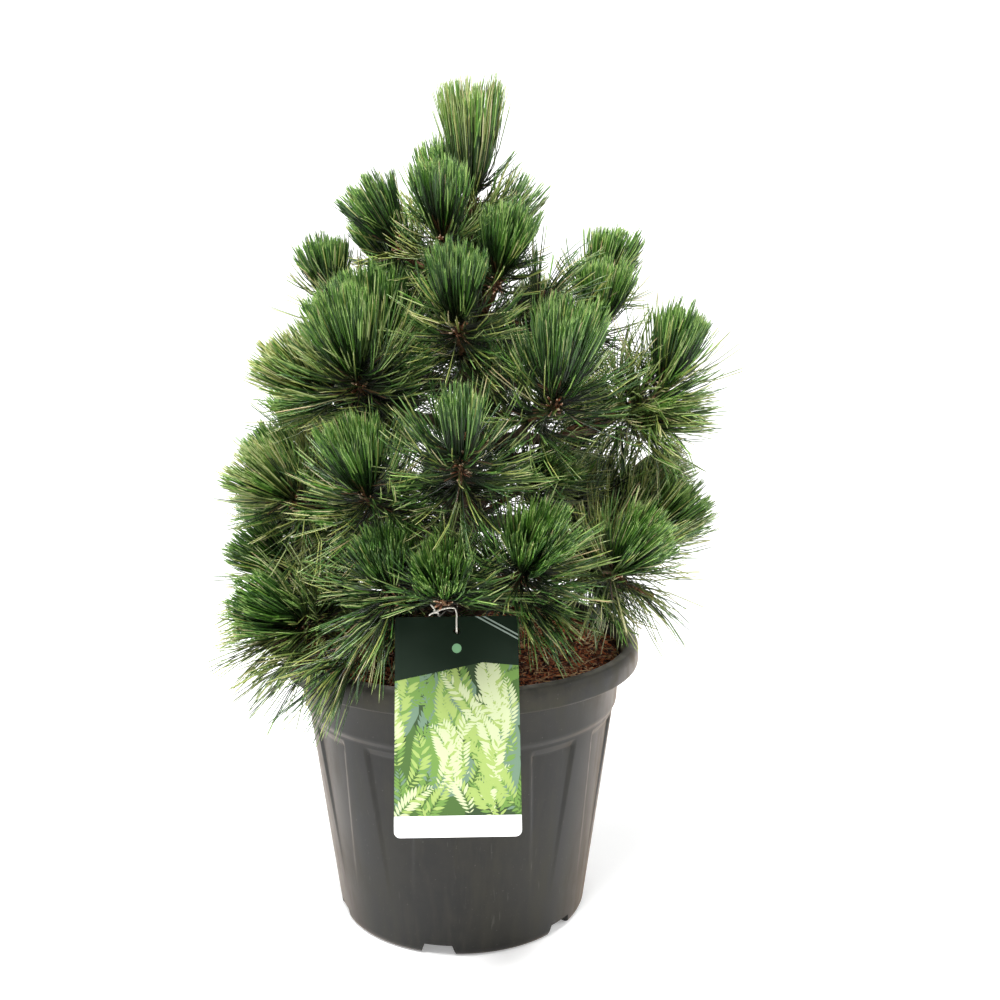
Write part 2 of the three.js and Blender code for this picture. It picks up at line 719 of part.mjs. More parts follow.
// A brush: a turned core whose upper ring is drawn out to the needles' tips
function brush(shoot, owner, dice) {
  const { bud, axis, length } = shoot;
  const [first, second] = aroundAxis(axis);
  const frame = new THREE.Matrix4().makeBasis(first, second, axis).setPosition(bud);
  const radius = BRUSH_RADIUS + length * BRUSH_RADIUS_SHARE;
  const columns = BRUSH_NEEDLES * 2;
  const rows = [[0, 0], [2, 0], [2, 1], [1, 1], [0, 1]];
  const geometry = latheUp(rows, columns, 0);
  const position = geometry.attributes.position;
  const turnStart = dice() * 360;
  const place = (angle, out, up) => {
    const turn = radians(turnStart + angle);
    return new THREE.Vector3(Math.cos(turn) * out, Math.sin(turn) * out, up).applyMatrix4(frame);
  };
  const rings = [];
  for (let column = 0; column < columns; column += 1) {
    const angle = (360 / columns) * column;
    const core = place(angle, radius * BRUSH_CORE.radius, length * BRUSH_CORE.height);
    core.lerp(bud, 1 - freeShare(bud, core, shoot, owner));
    const wide = column % 4 === 0 ? 0.85 + 0.3 * dice() : INNER_SHARE + 0.35 * dice();
    const tall = 0.86 + 0.14 * dice();
    const turn = angle + (dice() - 0.5) * 16;
    const tip = place(turn, radius * wide, length * (column === 0 ? 1 : tall));
    const notch = place(angle, radius * BRUSH_NOTCH.radius, length * BRUSH_NOTCH.height);
    const top = column % 2 === 0 ? tip : notch;
    top.lerp(core, 1 - freeShare(core, top, shoot, owner));
    rings.push([core, top]);
  }
  for (let i = 0; i < position.count; i += 1) {
    const row = i % rows.length;
    const column = Math.floor(i / rows.length) % columns;
    const angle = (360 / columns) * column;
    const foot = place(angle, BRUSH_FOOT_RADIUS, -BRUSH_FOOT_DROP);
    const middle = place(0, 0, -BRUSH_FOOT_DROP);
    const hollow = place(0, 0, length * BRUSH_HOLLOW);
    const point = [middle, foot, ...rings[column], hollow][row];
    position.setXYZ(i, point.x, point.y, point.z);
  }
  return toSolid(geometry);
}

function oldBlades(shoot, owner, dice) {
  const { bud, axis } = shoot;
  const [first, second] = aroundAxis(axis);
  const start = dice() * 360;
  const parts = [];
  for (let k = 0; k < OLD_BLADES; k += 1) {
    const turn = radians(start + (360 / OLD_BLADES) * k + (dice() - 0.5) * 40);
    const tilt = radians(OLD_TILT + (dice() - 0.5) * 30);
    const radial = first.clone().multiplyScalar(Math.cos(turn)).addScaledVector(second, Math.sin(turn));
    const way = axis.clone().multiplyScalar(Math.cos(tilt)).addScaledVector(radial, Math.sin(tilt));
    const long = OLD_LENGTH * (0.9 + 0.15 * dice());
    const root = bud.clone().addScaledVector(axis, -5 - 2.5 * k).addScaledVector(radial, 1.2);
    let made = null;
    for (const raise of OLD_RAISES) {
      const droop = OLD_DROOP + OLD_LEANING_DROOP * (1 - axis.z) - raise;
      const lowered = way.clone().addScaledVector(UP, -droop).normalize();
      made = blade(root, lowered, axis, long, shoot, owner);
      if (made) break;
    }
    if (made) parts.push(made);
  }
  return parts;
}

function makeMass(mass, seed) {
  const dice = random(seed);
  const parts = mass.limbs.map(({ curve, from, to }) => {
    const solid = toSolid(limb(curve, taper(from, to), TWIG_SIDES, TWIG_STEPS));
    return mass.bough ? solid : solid.subtract(trunkWithGap);
  });
  for (const shoot of mass.shoots) {
    parts.push(brush(shoot, mass.name, dice), ...oldBlades(shoot, mass.name, dice));
  }
  const solid = wasm.Manifold.union(parts);
  addPiece(`needles_${mass.name}`, toGeometry(solid), NEEDLES);
}

makePot();
makeSoil();
makeTrunk();
makeLabel();
makeTie();
masses.filter((mass) => mass.bough).forEach(makeBough);
masses.forEach((mass, k) => makeMass(mass, 100 + k));

const box = new THREE.Box3().setFromObject(plant);
plant.position.set(-(box.min.x + box.max.x) / 2, -(box.min.y + box.max.y) / 2, 0);

export default plant;
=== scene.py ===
"""Looks of a potted dwarf Bosnian pine: pot, soil, bark, twigs, buds, needles and hang label.

Lengths in the tables are millimetres, measured from the pot's axis at the ground.
The crown grows by the same rule as the solids: boughs leave the trunk, end in a fork,
and carry shoots; here each shoot has its buds, its brush of young needles, and the
older needles that spread below it.
"""

from math import cos, hypot, pi, radians, sin

import bmesh
import bpy
import numpy as np
from mathutils import Matrix, Vector


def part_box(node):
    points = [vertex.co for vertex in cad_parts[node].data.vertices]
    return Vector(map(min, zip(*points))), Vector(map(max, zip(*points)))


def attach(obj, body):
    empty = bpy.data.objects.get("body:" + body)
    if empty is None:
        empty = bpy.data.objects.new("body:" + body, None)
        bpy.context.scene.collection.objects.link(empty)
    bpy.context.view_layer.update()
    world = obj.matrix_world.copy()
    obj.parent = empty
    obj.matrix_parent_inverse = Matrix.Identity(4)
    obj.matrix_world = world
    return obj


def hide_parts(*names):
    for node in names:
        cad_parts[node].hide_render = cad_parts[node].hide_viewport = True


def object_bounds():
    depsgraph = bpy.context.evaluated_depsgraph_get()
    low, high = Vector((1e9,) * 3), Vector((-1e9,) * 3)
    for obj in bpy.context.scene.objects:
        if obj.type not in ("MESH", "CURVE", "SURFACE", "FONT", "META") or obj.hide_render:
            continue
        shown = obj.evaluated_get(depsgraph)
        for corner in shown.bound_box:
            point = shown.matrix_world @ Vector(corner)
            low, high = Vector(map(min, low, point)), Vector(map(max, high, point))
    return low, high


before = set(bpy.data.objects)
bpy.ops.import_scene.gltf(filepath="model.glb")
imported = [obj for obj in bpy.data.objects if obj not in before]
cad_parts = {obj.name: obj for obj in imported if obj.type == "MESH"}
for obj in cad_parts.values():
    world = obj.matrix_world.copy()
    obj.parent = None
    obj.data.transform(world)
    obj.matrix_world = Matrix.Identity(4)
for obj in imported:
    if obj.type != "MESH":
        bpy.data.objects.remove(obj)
cad_low, cad_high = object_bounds()
pot_low, pot_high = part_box("pot")
POT_AXIS = Vector(((pot_low.x + pot_high.x) / 2, (pot_low.y + pot_high.y) / 2, 0))
MM = 0.001

# Pot
POT_HEIGHT = 314
RIM_RADIUS = 198
RIM_SKIRT = 25.5
POT_WALL = 3
BAND_TOP_RADIUS = 177.5
BAND_LOW_RADIUS = 174.6
SHOULDER_Z = 240
SHOULDER_RADIUS = 171.4
FOOT_LINE_RADIUS = 139.7
FOOT_RADIUS = 134.5
FLUTES = 12
FLUTE_DEPTH = 3
FLUTE_TURN = 6
FLUTE_TOP_Z = 236
FLUTE_FULL_Z = 228
FLUTE_END_Z = 55
FLUTE_HALF_TOP = 9.5
FLUTE_HALF_END = 5
FLUTE_EDGE = 0.5
NOTCHES = 6
NOTCH_TURN = -9
NOTCH_SIZE = (38, 44, 26)
NOTCH_TOP_SHARE = 0.79
NOTCH_END_SHARE = 1.26
POT_STEPS_ROUND = 540
POT_SHARP_ANGLE = 38

# Soil
SOIL_TOP = 302
SOIL_EDGE_Z = 296
SOIL_RADIUS = 178
SOIL_RINGS = 46
SOIL_STEPS = 200
CHIPS = 4800
CHIP_SIZE = 5.6
CHIP_STARTS = (0.3, 0.58, 0.82)
CHIP_TINTS = {"Dark": (70, 42, 28), "Brown": (134, 76, 47), "Red": (190, 106, 62), "Tan": (200, 158, 120)}
FIBRES = 2000
FALLEN_NEEDLES = 60
COIR_TINTS = ((70, 38, 25), (112, 60, 40), (156, 86, 54), (184, 114, 74), (216, 176, 132))

# Trunk and limbs
GAP = 0.3
TRUNK_TIP = (15, 0, 768)
TRUNK_RADIUS = 17
TRUNK_TIP_RADIUS = 5
TRUNK_POINTS = 150
FLARE_RADIUS = 27
FLARE_SHARE = 0.07
BOUGH_RADIUS = 7
BOUGH_TIP_RADIUS = 4
BOUGH_RISE = 24
BOUGH_POINTS = 36
COLLAR = 2.5
COLLAR_SHARE = 0.12
FORK_PULL = 46
STEM_LENGTH = 10
STEM_RADIUS = 4.2
TWIG_RADIUS = 3.4
TWIG_TIP_RADIUS = 2.6
TWIG_POINTS = 24
BEND_PULL = 0.36

# Crown: name, height where the limb leaves the trunk, whether it has a bough, and its
# shoots as azimuth, reach, height, lean and length from the bud to the needles' tips, and
# for some how wide and how dense the brush is beside the others
LEADER_SHOOT = (0, 12, 785, 1, 137, 0.9, 1.15)
CROWN = [
    ("top_back", 735, False, [(112, 50, 768, 8, 92, 0.9)]),
    ("top_front", 690, False, [(255, 57, 744, 10, 84)]),
    ("top_left", 700, False, [(188, 63, 738, 32, 82)]),
    ("top_right", 715, False, [(30, 44, 748, 34, 84, 0.9, 0.4)]),
    ("top_low_right", 655, False, [(308, 66, 706, 20, 82)]),
    ("top_back_left", 668, False, [(150, 78, 712, 30, 86)]),
    ("top_back_right", 645, False, [(70, 82, 700, 26, 90)]),
    ("upper_front", 600, True, [(271, 100, 660, 14, 86)]),
    ("upper_left", 585, True, [(177, 137, 680, 10, 75)]),
    ("upper_left_front", 545, True,
     [(226, 142, 606, 16, 102, 1.2, 0.85), (196, 150, 586, 46, 84), (205, 92, 634, 4, 92)]),
    ("upper_right_back", 575, True, [(22, 164, 688, 20, 79, 1.04), (1, 150, 650, 7, 80, 1.1)]),
    ("upper_right_front", 530, True, [(309, 156, 587, 14, 107, 1.08)]),
    ("upper_right", 520, True, [(353, 218, 590, 16, 95, 1, 1.15)]),
    ("upper_back_left", 560, True, [(142, 140, 628, 22, 92), (116, 118, 662, 16, 86)]),
    ("upper_back_right", 550, True, [(58, 150, 622, 24, 92), (86, 140, 646, 18, 88)]),
    ("middle_front", 445, True, [(272, 180, 532, 14, 84, 0.66)]),
    ("middle_front_left", 430, True, [(240, 172, 497, 24, 88)]),
    ("middle_left", 415, True, [(181, 180, 480, 30, 82), (203, 184, 478, 50, 80)]),
    ("middle_right", 430, True, [(12, 184, 466, 66, 88)]),
    ("middle_inner", 440, False, [(316, 112, 502, 58, 52)]),
    ("middle_back_left", 455, True, [(150, 196, 516, 34, 90), (124, 176, 548, 24, 88)]),
    ("middle_back_right", 440, True, [(48, 196, 500, 36, 90), (84, 188, 528, 28, 90)]),
    ("low_left", 335, True, [(213, 188, 352, 60, 90), (188, 180, 388, 52, 84)]),
    ("low_front_left", 354, True, [(250, 178, 408, 28, 78)]),
    ("low_front", 374, True, [(267, 196, 408, 36, 66)]),
    ("low_front_right", 336, True, [(291, 182, 426, 40, 88)]),
    ("low_right", 340, True, [(355, 198, 422, 46, 94), (327, 192, 410, 42, 84)]),
    ("low_back_left", 352, True, [(160, 204, 412, 46, 92), (132, 206, 430, 40, 90)]),
    ("low_back_right", 340, True, [(28, 204, 404, 50, 92), (56, 204, 424, 42, 90)]),
    ("low_back", 372, True, [(96, 212, 418, 44, 92)]),
]
# Shoots that leave the first twig of a mass: as above, and whether it is a hanging wisp
SIDE_SHOOTS = [
    ("upper_right", (347, 190, 556, 78, 92, 0.7, 0.5), False),
    ("upper_right", (340, 120, 548, 62, 70, 1, 0.55), True),
    ("top_low_right", (335, 90, 664, 14, 90), True),
    ("low_right", (342, 190, 384, 108, 84), True),
    ("low_right", (350, 150, 374, 100, 84, 1, 0.6), True),
    ("low_front_right", (299, 143, 386, 98, 81, 1, 0.6), True),
    ("low_left", (208, 184, 338, 92, 90), True),
    ("low_left", (221, 190, 328, 106, 90), True),
    ("low_front_left", (237, 190, 332, 98, 90), True),
    ("low_back_left", (172, 200, 342, 96, 84), True),
    ("low_back", (104, 198, 346, 96, 84), True),
    ("low_back_right", (40, 198, 344, 92, 84), True),
]

# Needles
BRUSH_DENSITY = 0.32
BRUSH_RADIUS = 24
BRUSH_RADIUS_SHARE = 0.155
CANDLE_SHARE = 0.34
LOCKS = 40
LOCK_PULL = 0.3
STRAY_SHARE = 0.07
STRAY_SPREAD = 1.3
FAN_LOCKS = 22
DROOPING = 0.3
FEWER_BELOW = 0.75
SIDE_COUNT = 160
OLD_COUNT = 330
INNER_COUNT = 80
OLD_LENGTH = 98
SHEATHS = (64, (-14, 14), (28, 92), 11, 0.5, 0)
SHEATH_STOUT = 2.1
WISP_COUNT = 200
WISP_SPREAD = ((-16, 70), (12, 84))
WISP_BEND = (0.2, 0.5)
NEEDLE_AT = (0, 0.3, 0.62, 0.93, 1)
NEEDLE_AT_JITTER = (0, 0.07, 0.1, 0.02, 0)
NEEDLE_TAPER = (0.8, 1.0, 1.05, 0.85, 0.1)
NEEDLE_RADIUS = 0.64
NEEDLE_GLOSS = {"roughness": 0.28, "Specular_IOR_Level": 0.55}
NEEDLES_A_PIECE = 7400
ZONE_NAMES = ("Sheath", "Foot", "Low", "Middle", "Tip")
ZONE_STARTS = (0.03, 0.28, 0.6, 0.86)
REACH_SLACK = 8
UP = np.array([0, 0, 1.0])

# Each kind of needle: its sheath, then the needle from its foot to its tip, darker towards the foot as
# painted shade and lighter towards the tip as painted light
GREENS = {
    "fresh": ((92, 68, 44), (17, 33, 8), (33, 62, 18), (82, 124, 43), (142, 174, 92)),
    "leaf": ((80, 58, 38), (13, 25, 7), (24, 46, 14), (57, 94, 34), (118, 150, 78)),
    "deep": ((66, 48, 34), (9, 19, 7), (18, 36, 12), (41, 72, 27), (84, 118, 58)),
    "old": ((92, 66, 46), (28, 40, 16), (64, 84, 38), (110, 131, 68), (150, 164, 107)),
    "olive": ((100, 76, 52), (50, 60, 24), (106, 117, 54), (150, 158, 86), (184, 185, 130)),
    "faded": ((108, 80, 56), (84, 90, 52), (138, 138, 92), (172, 168, 126), (176, 158, 118)),
    "sheath": ((44, 25, 18), (72, 40, 27), (112, 66, 44), (150, 104, 74), (214, 190, 160)),
}
# The shares of fresh, leaf, deep, old, olive and faded in each kind of spray: deep in the crown, and out in
# the open.
# The darker tints given deep in the crown and to the inner needles are painted shade
MIXES = {
    "new": ((0.14, 0.36, 0.42, 0.05, 0.03, 0), (0.36, 0.36, 0.19, 0.04, 0.03, 0.02)),
    "top": ((1, 0, 0, 0, 0, 0), (0.5, 0.14, 0.02, 0.16, 0.12, 0.06)),
    "side": ((0.05, 0.34, 0.4, 0.15, 0.05, 0.01), (0.18, 0.2, 0.07, 0.31, 0.2, 0.04)),
    "old": ((0, 0.24, 0.44, 0.2, 0.09, 0.03), (0, 0.14, 0.06, 0.38, 0.33, 0.09)),
    "inner": ((0, 0.1, 0.6, 0.2, 0.06, 0.04), (0, 0.14, 0.4, 0.28, 0.12, 0.06)),
}
# Gaps seen through the crown: place and size as seen, and the share of needles left there
GAPS = [
    (574, 432, 26, 13, 0.25),
    (520, 438, 20, 12, 0.25),
    (510, 505, 16, 9, 0.25),
    (419, 466, 13, 7, 0.3),
    (488, 300, 9, 14, 0.2),
    (630, 322, 14, 14, 0.5),
    (660, 346, 14, 34, 0.45),
    (602, 320, 8, 12, 0.3),
    (672, 592, 44, 36, 0.35),
    (355, 238, 9, 12, 0.2),
]

# Buds
BUD_SIDES = 6
BUD_RINGS = 5
BUD_SCALES = 13
SIDE_BUDS = 4
GOLDEN_TURN = radians(137.5)

# Label
LABEL_WIDTH = 120
LABEL_LENGTH = 208
LABEL_THICKNESS = 0.8
LABEL_CORNER = 6
LABEL_TILT = 25
LABEL_ABOVE_RIM = 80
LABEL_SHIFT = 2.2
LABEL_TURN = 0.9
LABEL_HOLE = 3.5
LABEL_HOLE_DOWN = 14
HEADER_PEAK_X = 25
HEADER_DOWN = (62, 45, 48.5)
WHITE_STRIP = 19.5
DISC_RADIUS = 4.6
DISC_DOWN = 31
SLEEVE = 0.12
PRINT_STEP = 0.0001
BLOTS = 9
FRONDS = 64
# A leaflet's corners, as shares of its length and of its half width
LEAFLET = ((0, 0), (0.35, 1), (0.75, 0.7), (1, 0), (0.7, -0.8), (0.3, -1))
PICTURE_INKS = {
    "deep_green_ink": (0.03, 0.055, 0.022, 1),
    "grey_green_ink": (0.12, 0.19, 0.13, 1),
    "leaf_green_ink": (0.12, 0.22, 0.05, 1),
    "lime_ink": (0.26, 0.35, 0.1, 1),
    "cream_ink": (0.42, 0.47, 0.28, 1),
}
TIE_RADIUS = 0.8
TIE_POINTS = 60
TIE_BOUGH = "low_front"
TIE_PLACE = 0.8
TIE_KNOT = (-20, -5, 0)
TIE_TAILS = ((-6, 1, 8), (-7, -2, -3))
TIE_ROUTE = (
    (-17, -3, -14), (-18.5, -4.5, -5), (-17, -6.5, 0.5), (-9, -8.5, 1.4), (-2, -8, 2.4), (0, -4, 2.7),
    (0, 4, 2.6), (0, 11, 2.2), (0, 14, 0), (0, 15.5, -4),
)

# Camera and softboxes, in metres from the pot's axis
CAMERA_PLACE = (0.0435, -1.299, 0.711)
CAMERA_DOWN = 10.69
CAMERA_LENS = 43.2
CAMERA_SENSOR = 36
SOFTBOXES = (
    ("overhead_softbox", (-0.4, -1.0, 2.6), 1.1, 134),
    ("left_softbox", (-2.2, -0.6, 1.3), 1.4, 15),
    ("right_softbox", (2.2, -0.2, 1.3), 1.4, 27),
)


# Node trees


class Value:
    """An output of a node; arithmetic on it adds Math nodes to its tree."""

    def __init__(self, tree, node, socket):
        self.tree, self.node, self.socket = tree, node, socket

    def other(self, name):
        return Value(self.tree, self.node, self.node.outputs[name])

    def math(self, operation, *values):
        return self.tree.node("ShaderNodeMath", dict(enumerate(values)), operation=operation)

    def over(self, low, high):
        """0 below low, 1 above high, and straight between."""
        return self.tree.node("ShaderNodeMapRange", {"From Min": low, "From Max": high, "Value": self})

    __add__ = __radd__ = lambda self, other: self.math("ADD", self, other)
    __mul__ = __rmul__ = lambda self, other: self.math("MULTIPLY", self, other)
    __sub__ = lambda self, other: self.math("SUBTRACT", self, other)
    __rsub__ = lambda self, other: self.math("SUBTRACT", other, self)
    __truediv__ = lambda self, other: self.math("DIVIDE", self, other)
    __rtruediv__ = lambda self, other: self.math("DIVIDE", other, self)
    __gt__ = lambda self, other: self.math("GREATER_THAN", self, other)


class Tree:
    def __init__(self, tree):
        self.tree = tree

    def node(self, kind, sockets=None, out=0, **settings):
        """Adds a node: first its settings, then the values or links of its sockets."""
        made = self.tree.nodes.new(kind)
        for key, value in settings.items():
            setattr(made, key, value)
        for key, value in (sockets or {}).items():
            if isinstance(value, Value):
                self.tree.links.new(value.socket, made.inputs[key])
            else:
                made.inputs[key].default_value = value
        return Value(self, made, made.outputs[out] if made.outputs else None)

    def split(self, vector):
        parts = self.node("ShaderNodeSeparateXYZ", {0: vector})
        return parts, parts.other("Y"), parts.other("Z")

    def join(self, *parts):
        return self.node("ShaderNodeCombineXYZ", dict(enumerate(parts)))

    def times(self, vector, sizes):
        return self.node("ShaderNodeVectorMath", {0: vector, 1: sizes}, operation="MULTIPLY")

    def mix(self, share, first, second):
        return self.node("ShaderNodeMix", {0: share, 6: first, 7: second}, 2, data_type="RGBA")

    def noise(self, place, scale, detail, roughness):
        sockets = {"Vector": place, "Scale": scale, "Detail": detail, "Roughness": roughness}
        return self.node("ShaderNodeTexNoise", sockets)

    def plates(self, place, scale):
        sockets = {"Vector": place, "Scale": scale}
        return self.node("ShaderNodeTexVoronoi", sockets, feature="DISTANCE_TO_EDGE")

    def stored(self, name, kind="FLOAT"):
        return self.node("GeometryNodeInputNamedAttribute", {"Name": name}, data_type=kind)

    def moved(self, geometry, key, vector):
        return self.node("GeometryNodeSetPosition", {"Geometry": geometry, key: vector})

    def facing(self, axis, way):
        return self.node("FunctionNodeAlignRotationToVector", {"Vector": way}, axis=axis)

    def copies(self, points, shape, turn, size=(1, 1, 1)):
        sockets = {"Points": points, "Instance": shape, "Rotation": turn, "Scale": size}
        return self.node("GeometryNodeInstanceOnPoints", sockets)

    def smooth(self, geometry):
        return self.node("GeometryNodeSetShadeSmooth", {"Geometry": geometry}, domain="FACE")

    def real(self, geometry):
        return self.node("GeometryNodeRealizeInstances", {"Geometry": geometry})

    def end(self, geometry, finishes, value=None, starts=()):
        """Ends in real geometry: the first finish all over, each next one from a start of the value."""
        geometry = self.real(geometry)
        for finish, chosen in zip(finishes, (True, *(value > start for start in starts))):
            sockets = {"Geometry": geometry, "Selection": chosen, "Material": finish}
            geometry = self.node("GeometryNodeSetMaterial", sockets)
        self.node("NodeGroupOutput", {0: geometry})
        return self


# Materials


def tint(red, green, blue):
    """A plain colour from screen values 0 to 255."""
    parts = (red / 255, green / 255, blue / 255)
    return *(c / 12.92 if c < 0.0405 else ((c + 0.055) / 1.055) ** 2.4 for c in parts), 1


def finish_of(name, color, roughness=0.55, **more):
    """A material with plain values; returns it with its tree and shader."""
    material = bpy.data.materials.new(name)
    material.use_nodes = True
    shader = material.node_tree.nodes["Principled BSDF"]
    for key, value in {"Base_Color": color, "Roughness": roughness, **more}.items():
        shader.inputs[key.replace("_", " ")].default_value = value
    return material, Tree(material.node_tree), shader


def plain(name, color, roughness=0.55, **more):
    return finish_of(name, color, roughness, **more)[0]


def plains(form, tints, roughness, **more):
    """Plain materials by the names of their parts, which the form puts in the materials' names."""
    return {part: plain(form.format(part.lower()), tint(*color), roughness, **more) for part, color in tints}


def drive(tree, shader, height, distance, strength, **links):
    """Links values to the shader's sockets, and a height to its Normal as relief."""
    sockets = {"Height": height, "Distance": distance, "Strength": strength}
    links["Normal"] = tree.node("ShaderNodeBump", sockets)
    for key, value in links.items():
        tree.tree.links.new(value.socket, shader.inputs[key.replace("_", " ")])


def moulded_plastic():
    """Charcoal plastic with dust, stains, scuffs, a painted highlight streaked along the lip and a painted
    sheen that shows at a slant.
    """
    name, color = "charcoal_moulded_plastic", tint(40, 39, 36)
    material, tree, shader = finish_of(name, color, 0.5, Specular_IOR_Level=0.26)
    place = tree.node("ShaderNodeTexCoord", out="Object")
    height = tree.split(place)[2]
    upright = tree.times(place, (1, 1, 0.12))
    clouds = tree.noise(place, 9, 4, 0.6)
    streaks = tree.noise(upright, 60, 3, 0.6)
    mottle = tree.noise(place, 26, 4, 0.65).over(0.42, 0.64)
    specks = tree.noise(place, 420, 2, 0.7).over(0.68, 0.78)
    stains = tree.noise(upright, 14, 4, 0.65).over(0.5, 0.66)
    dust = clouds.over(0.42, 0.72) * 0.4 + streaks.over(0.48, 0.74) * 0.4 + stains * 0.25
    dust = dust * (1.2 - height.over(0, 0.3) * 0.4) + height.over(0.24, 0.3) * mottle * 0.7
    # Painted sheen: a warm pale colour mixed in where the wall is seen at a slant, standing in for reflected
    # light.
    slant = tree.node("ShaderNodeLayerWeight", {"Blend": 0.5}, "Facing")
    painted_slant_sheen = (slant * slant * slant).over(0.1, 0.9) * 0.7
    base = tree.mix(painted_slant_sheen, tree.mix(dust, tint(19, 18, 15), tint(52, 50, 41)), tint(118, 97, 74))
    scratches = tree.noise(tree.times(place, (1, 1, 0.05)), 240, 2, 0.6)
    scuffs = scratches.over(0.66, 0.72) * clouds.over(0.45, 0.6)
    # Painted highlight: a pale line along the top of the lip, broken by streaks; it is mixed in with the
    # real specks and scuffs.
    painted_lip_highlight = height.over(0.3118, 0.3136) * (0.35 + streaks.over(0.4, 0.6) * 0.4)
    scuffs_and_painted_highlight = tree.mix(specks * 0.5 + scuffs * 0.2 + painted_lip_highlight, base, tint(98, 96, 90))
    grain = tree.noise(place, 900, 2, 0.5) * 0.25 + tree.noise(upright, 26, 2, 0.5)
    drive(tree, shader, grain, 0.0006, 0.35, Base_Color=scuffs_and_painted_highlight, Roughness=0.36 + dust * 0.4 + specks * 0.1)
    return material


def scaly_bark(name, dark, light, scale):
    material, tree, shader = finish_of(name, dark, 0.9)
    place = tree.node("ShaderNodeTexCoord", out="Object")
    plates = tree.plates(tree.times(place, (1, 1, 0.45)), scale)
    grain = tree.noise(place, scale * 3, 5, 0.65)
    color = tree.mix(plates.over(0.02, 0.22) * 0.6 + grain * 0.4, dark, light)
    drive(tree, shader, plates.over(0, 0.2) + grain * 0.6, 0.0012, 0.7, Base_Color=color)
    return material


def damp_peat():
    material, tree, shader = finish_of("damp_peat", tint(40, 24, 15), 0.95)
    crumbs = tree.noise(tree.node("ShaderNodeTexCoord", out="Object"), 260, 5, 0.7)
    color = tree.mix(crumbs.over(0.35, 0.7), tint(28, 15, 10), tint(108, 62, 40))
    drive(tree, shader, crumbs, 0.002, 0.9, Base_Color=color)
    return material


# Meshes and geometry trees


def link(name, data):
    made = bpy.data.objects.new(name, data)
    bpy.context.scene.collection.objects.link(made)
    return made


def mesh_object(name, points, faces=(), edges=()):
    mesh = bpy.data.meshes.new(name)
    mesh.from_pydata(points, edges, faces)
    return link(name, mesh)


def ring_faces(rings, steps):
    """Faces that join rings of points, each with the same number of steps."""
    turns = [(k, (k + 1) % steps) for k in range(steps)]
    pairs = [(low, low + steps) for low in range(0, (rings - 1) * steps, steps)]
    return [(low + k, low + after, high + after, high + k) for low, high in pairs for k, after in turns]


def give(piece, name, kind, values, domain="POINT"):
    field = "vector" if kind == "FLOAT_VECTOR" else "value"
    flat = np.asarray(values, np.float32).ravel()
    piece.data.attributes.new(name, kind, domain).data.foreach_set(field, flat)


def new_tree(name, **inputs):
    """A geometry tree with named inputs; returns it, its geometry and then those inputs."""
    group = bpy.data.node_groups.new(name, "GeometryNodeTree")
    for key, kind in {"Geometry": "Geometry", **inputs}.items():
        group.interface.new_socket(key, in_out="INPUT", socket_type="NodeSocket" + kind)
    group.interface.new_socket("Geometry", in_out="OUTPUT", socket_type="NodeSocketGeometry")
    tree = Tree(group)
    first = tree.node("NodeGroupInput")
    return tree, first, *(first.other(key) for key in inputs)


def grow(source, tree, **inputs):
    """Runs a geometry tree on an object and leaves the result as its plain mesh."""
    modifier = source.modifiers.new("growth", "NODES")
    modifier.node_group = tree.tree
    for item in tree.tree.interface.items_tree:
        if item.in_out == "INPUT" and item.name in inputs:
            modifier[item.identifier] = inputs[item.name]
    result = source.evaluated_get(bpy.context.evaluated_depsgraph_get())
    mesh = bpy.data.meshes.new_from_object(result)
    source.modifiers.clear()
    source.data = mesh


def place_in_frame(piece, slot, *nodes):
    """Puts a piece built round the pot's axis, in millimetres, into the frame."""
    piece.data.transform(Matrix.Translation(POT_AXIS) @ Matrix.Scale(MM, 4))
    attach(piece, "root")
    if nodes:
        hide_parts(*nodes)


# Pot


def wall_radius(z):
    return FOOT_LINE_RADIUS + (SHOULDER_RADIUS - FOOT_LINE_RADIUS) * z / SHOULDER_Z


def pot_outline():
    """The wall as radius and height: under the floor and up the outside, then down the inside."""
    low, rim, foot, shoulder = POT_HEIGHT - RIM_SKIRT, RIM_RADIUS, FOOT_RADIUS, SHOULDER_RADIUS
    band_low, band = BAND_LOW_RADIUS, BAND_TOP_RADIUS
    wall = [(wall_radius(z), z) for z in (*np.linspace(9, 226, 34), *np.linspace(228, 237, 10))]
    outside = [
        (0, 10), (foot - 6, 10), (foot - 5, 9), (foot - 5, 0.4), (foot - 4.6, 0), (foot - 0.6, 0),
        (foot + 1.2, 0.6), (foot + 4.3, 2.5), (wall_radius(8) - 0.3, 6), *wall,
        (shoulder - 0.1, 239.2), (shoulder + 0.5, 240.4), (band_low - 0.9, 243.4), (band_low - 0.1, 245),
        (band_low + 0.4, 248), (band, low - 2.8), (band + 0.6, low - 1.6), (rim - 14, 301), (rim - 8, 309),
        (rim - 3.2, 304), (rim - 3, low + 0.8), (rim - 2.5, low + 0.1), (rim - 1.2, low - 0.1),
        (rim - 0.3, low + 0.7), (rim, low + 2), (rim, 303), (rim - 0.3, 307), (rim - 1.6, 310.4),
        (rim - 4.2, 312.9), (rim - 7.4, 313.9), (rim - 10, 313.6), (rim - 12.6, 312), (rim - 14.4, 309),
        (rim - 15.4, 305), (rim - 17, 300),
    ]
    inside = [(wall_radius(z) - POT_WALL - 1, z) for z in (228, 150, 60, 15)]
    return outside, [(band - POT_WALL, low - 3), (shoulder - POT_WALL, 238), *inside, (0, 14)]


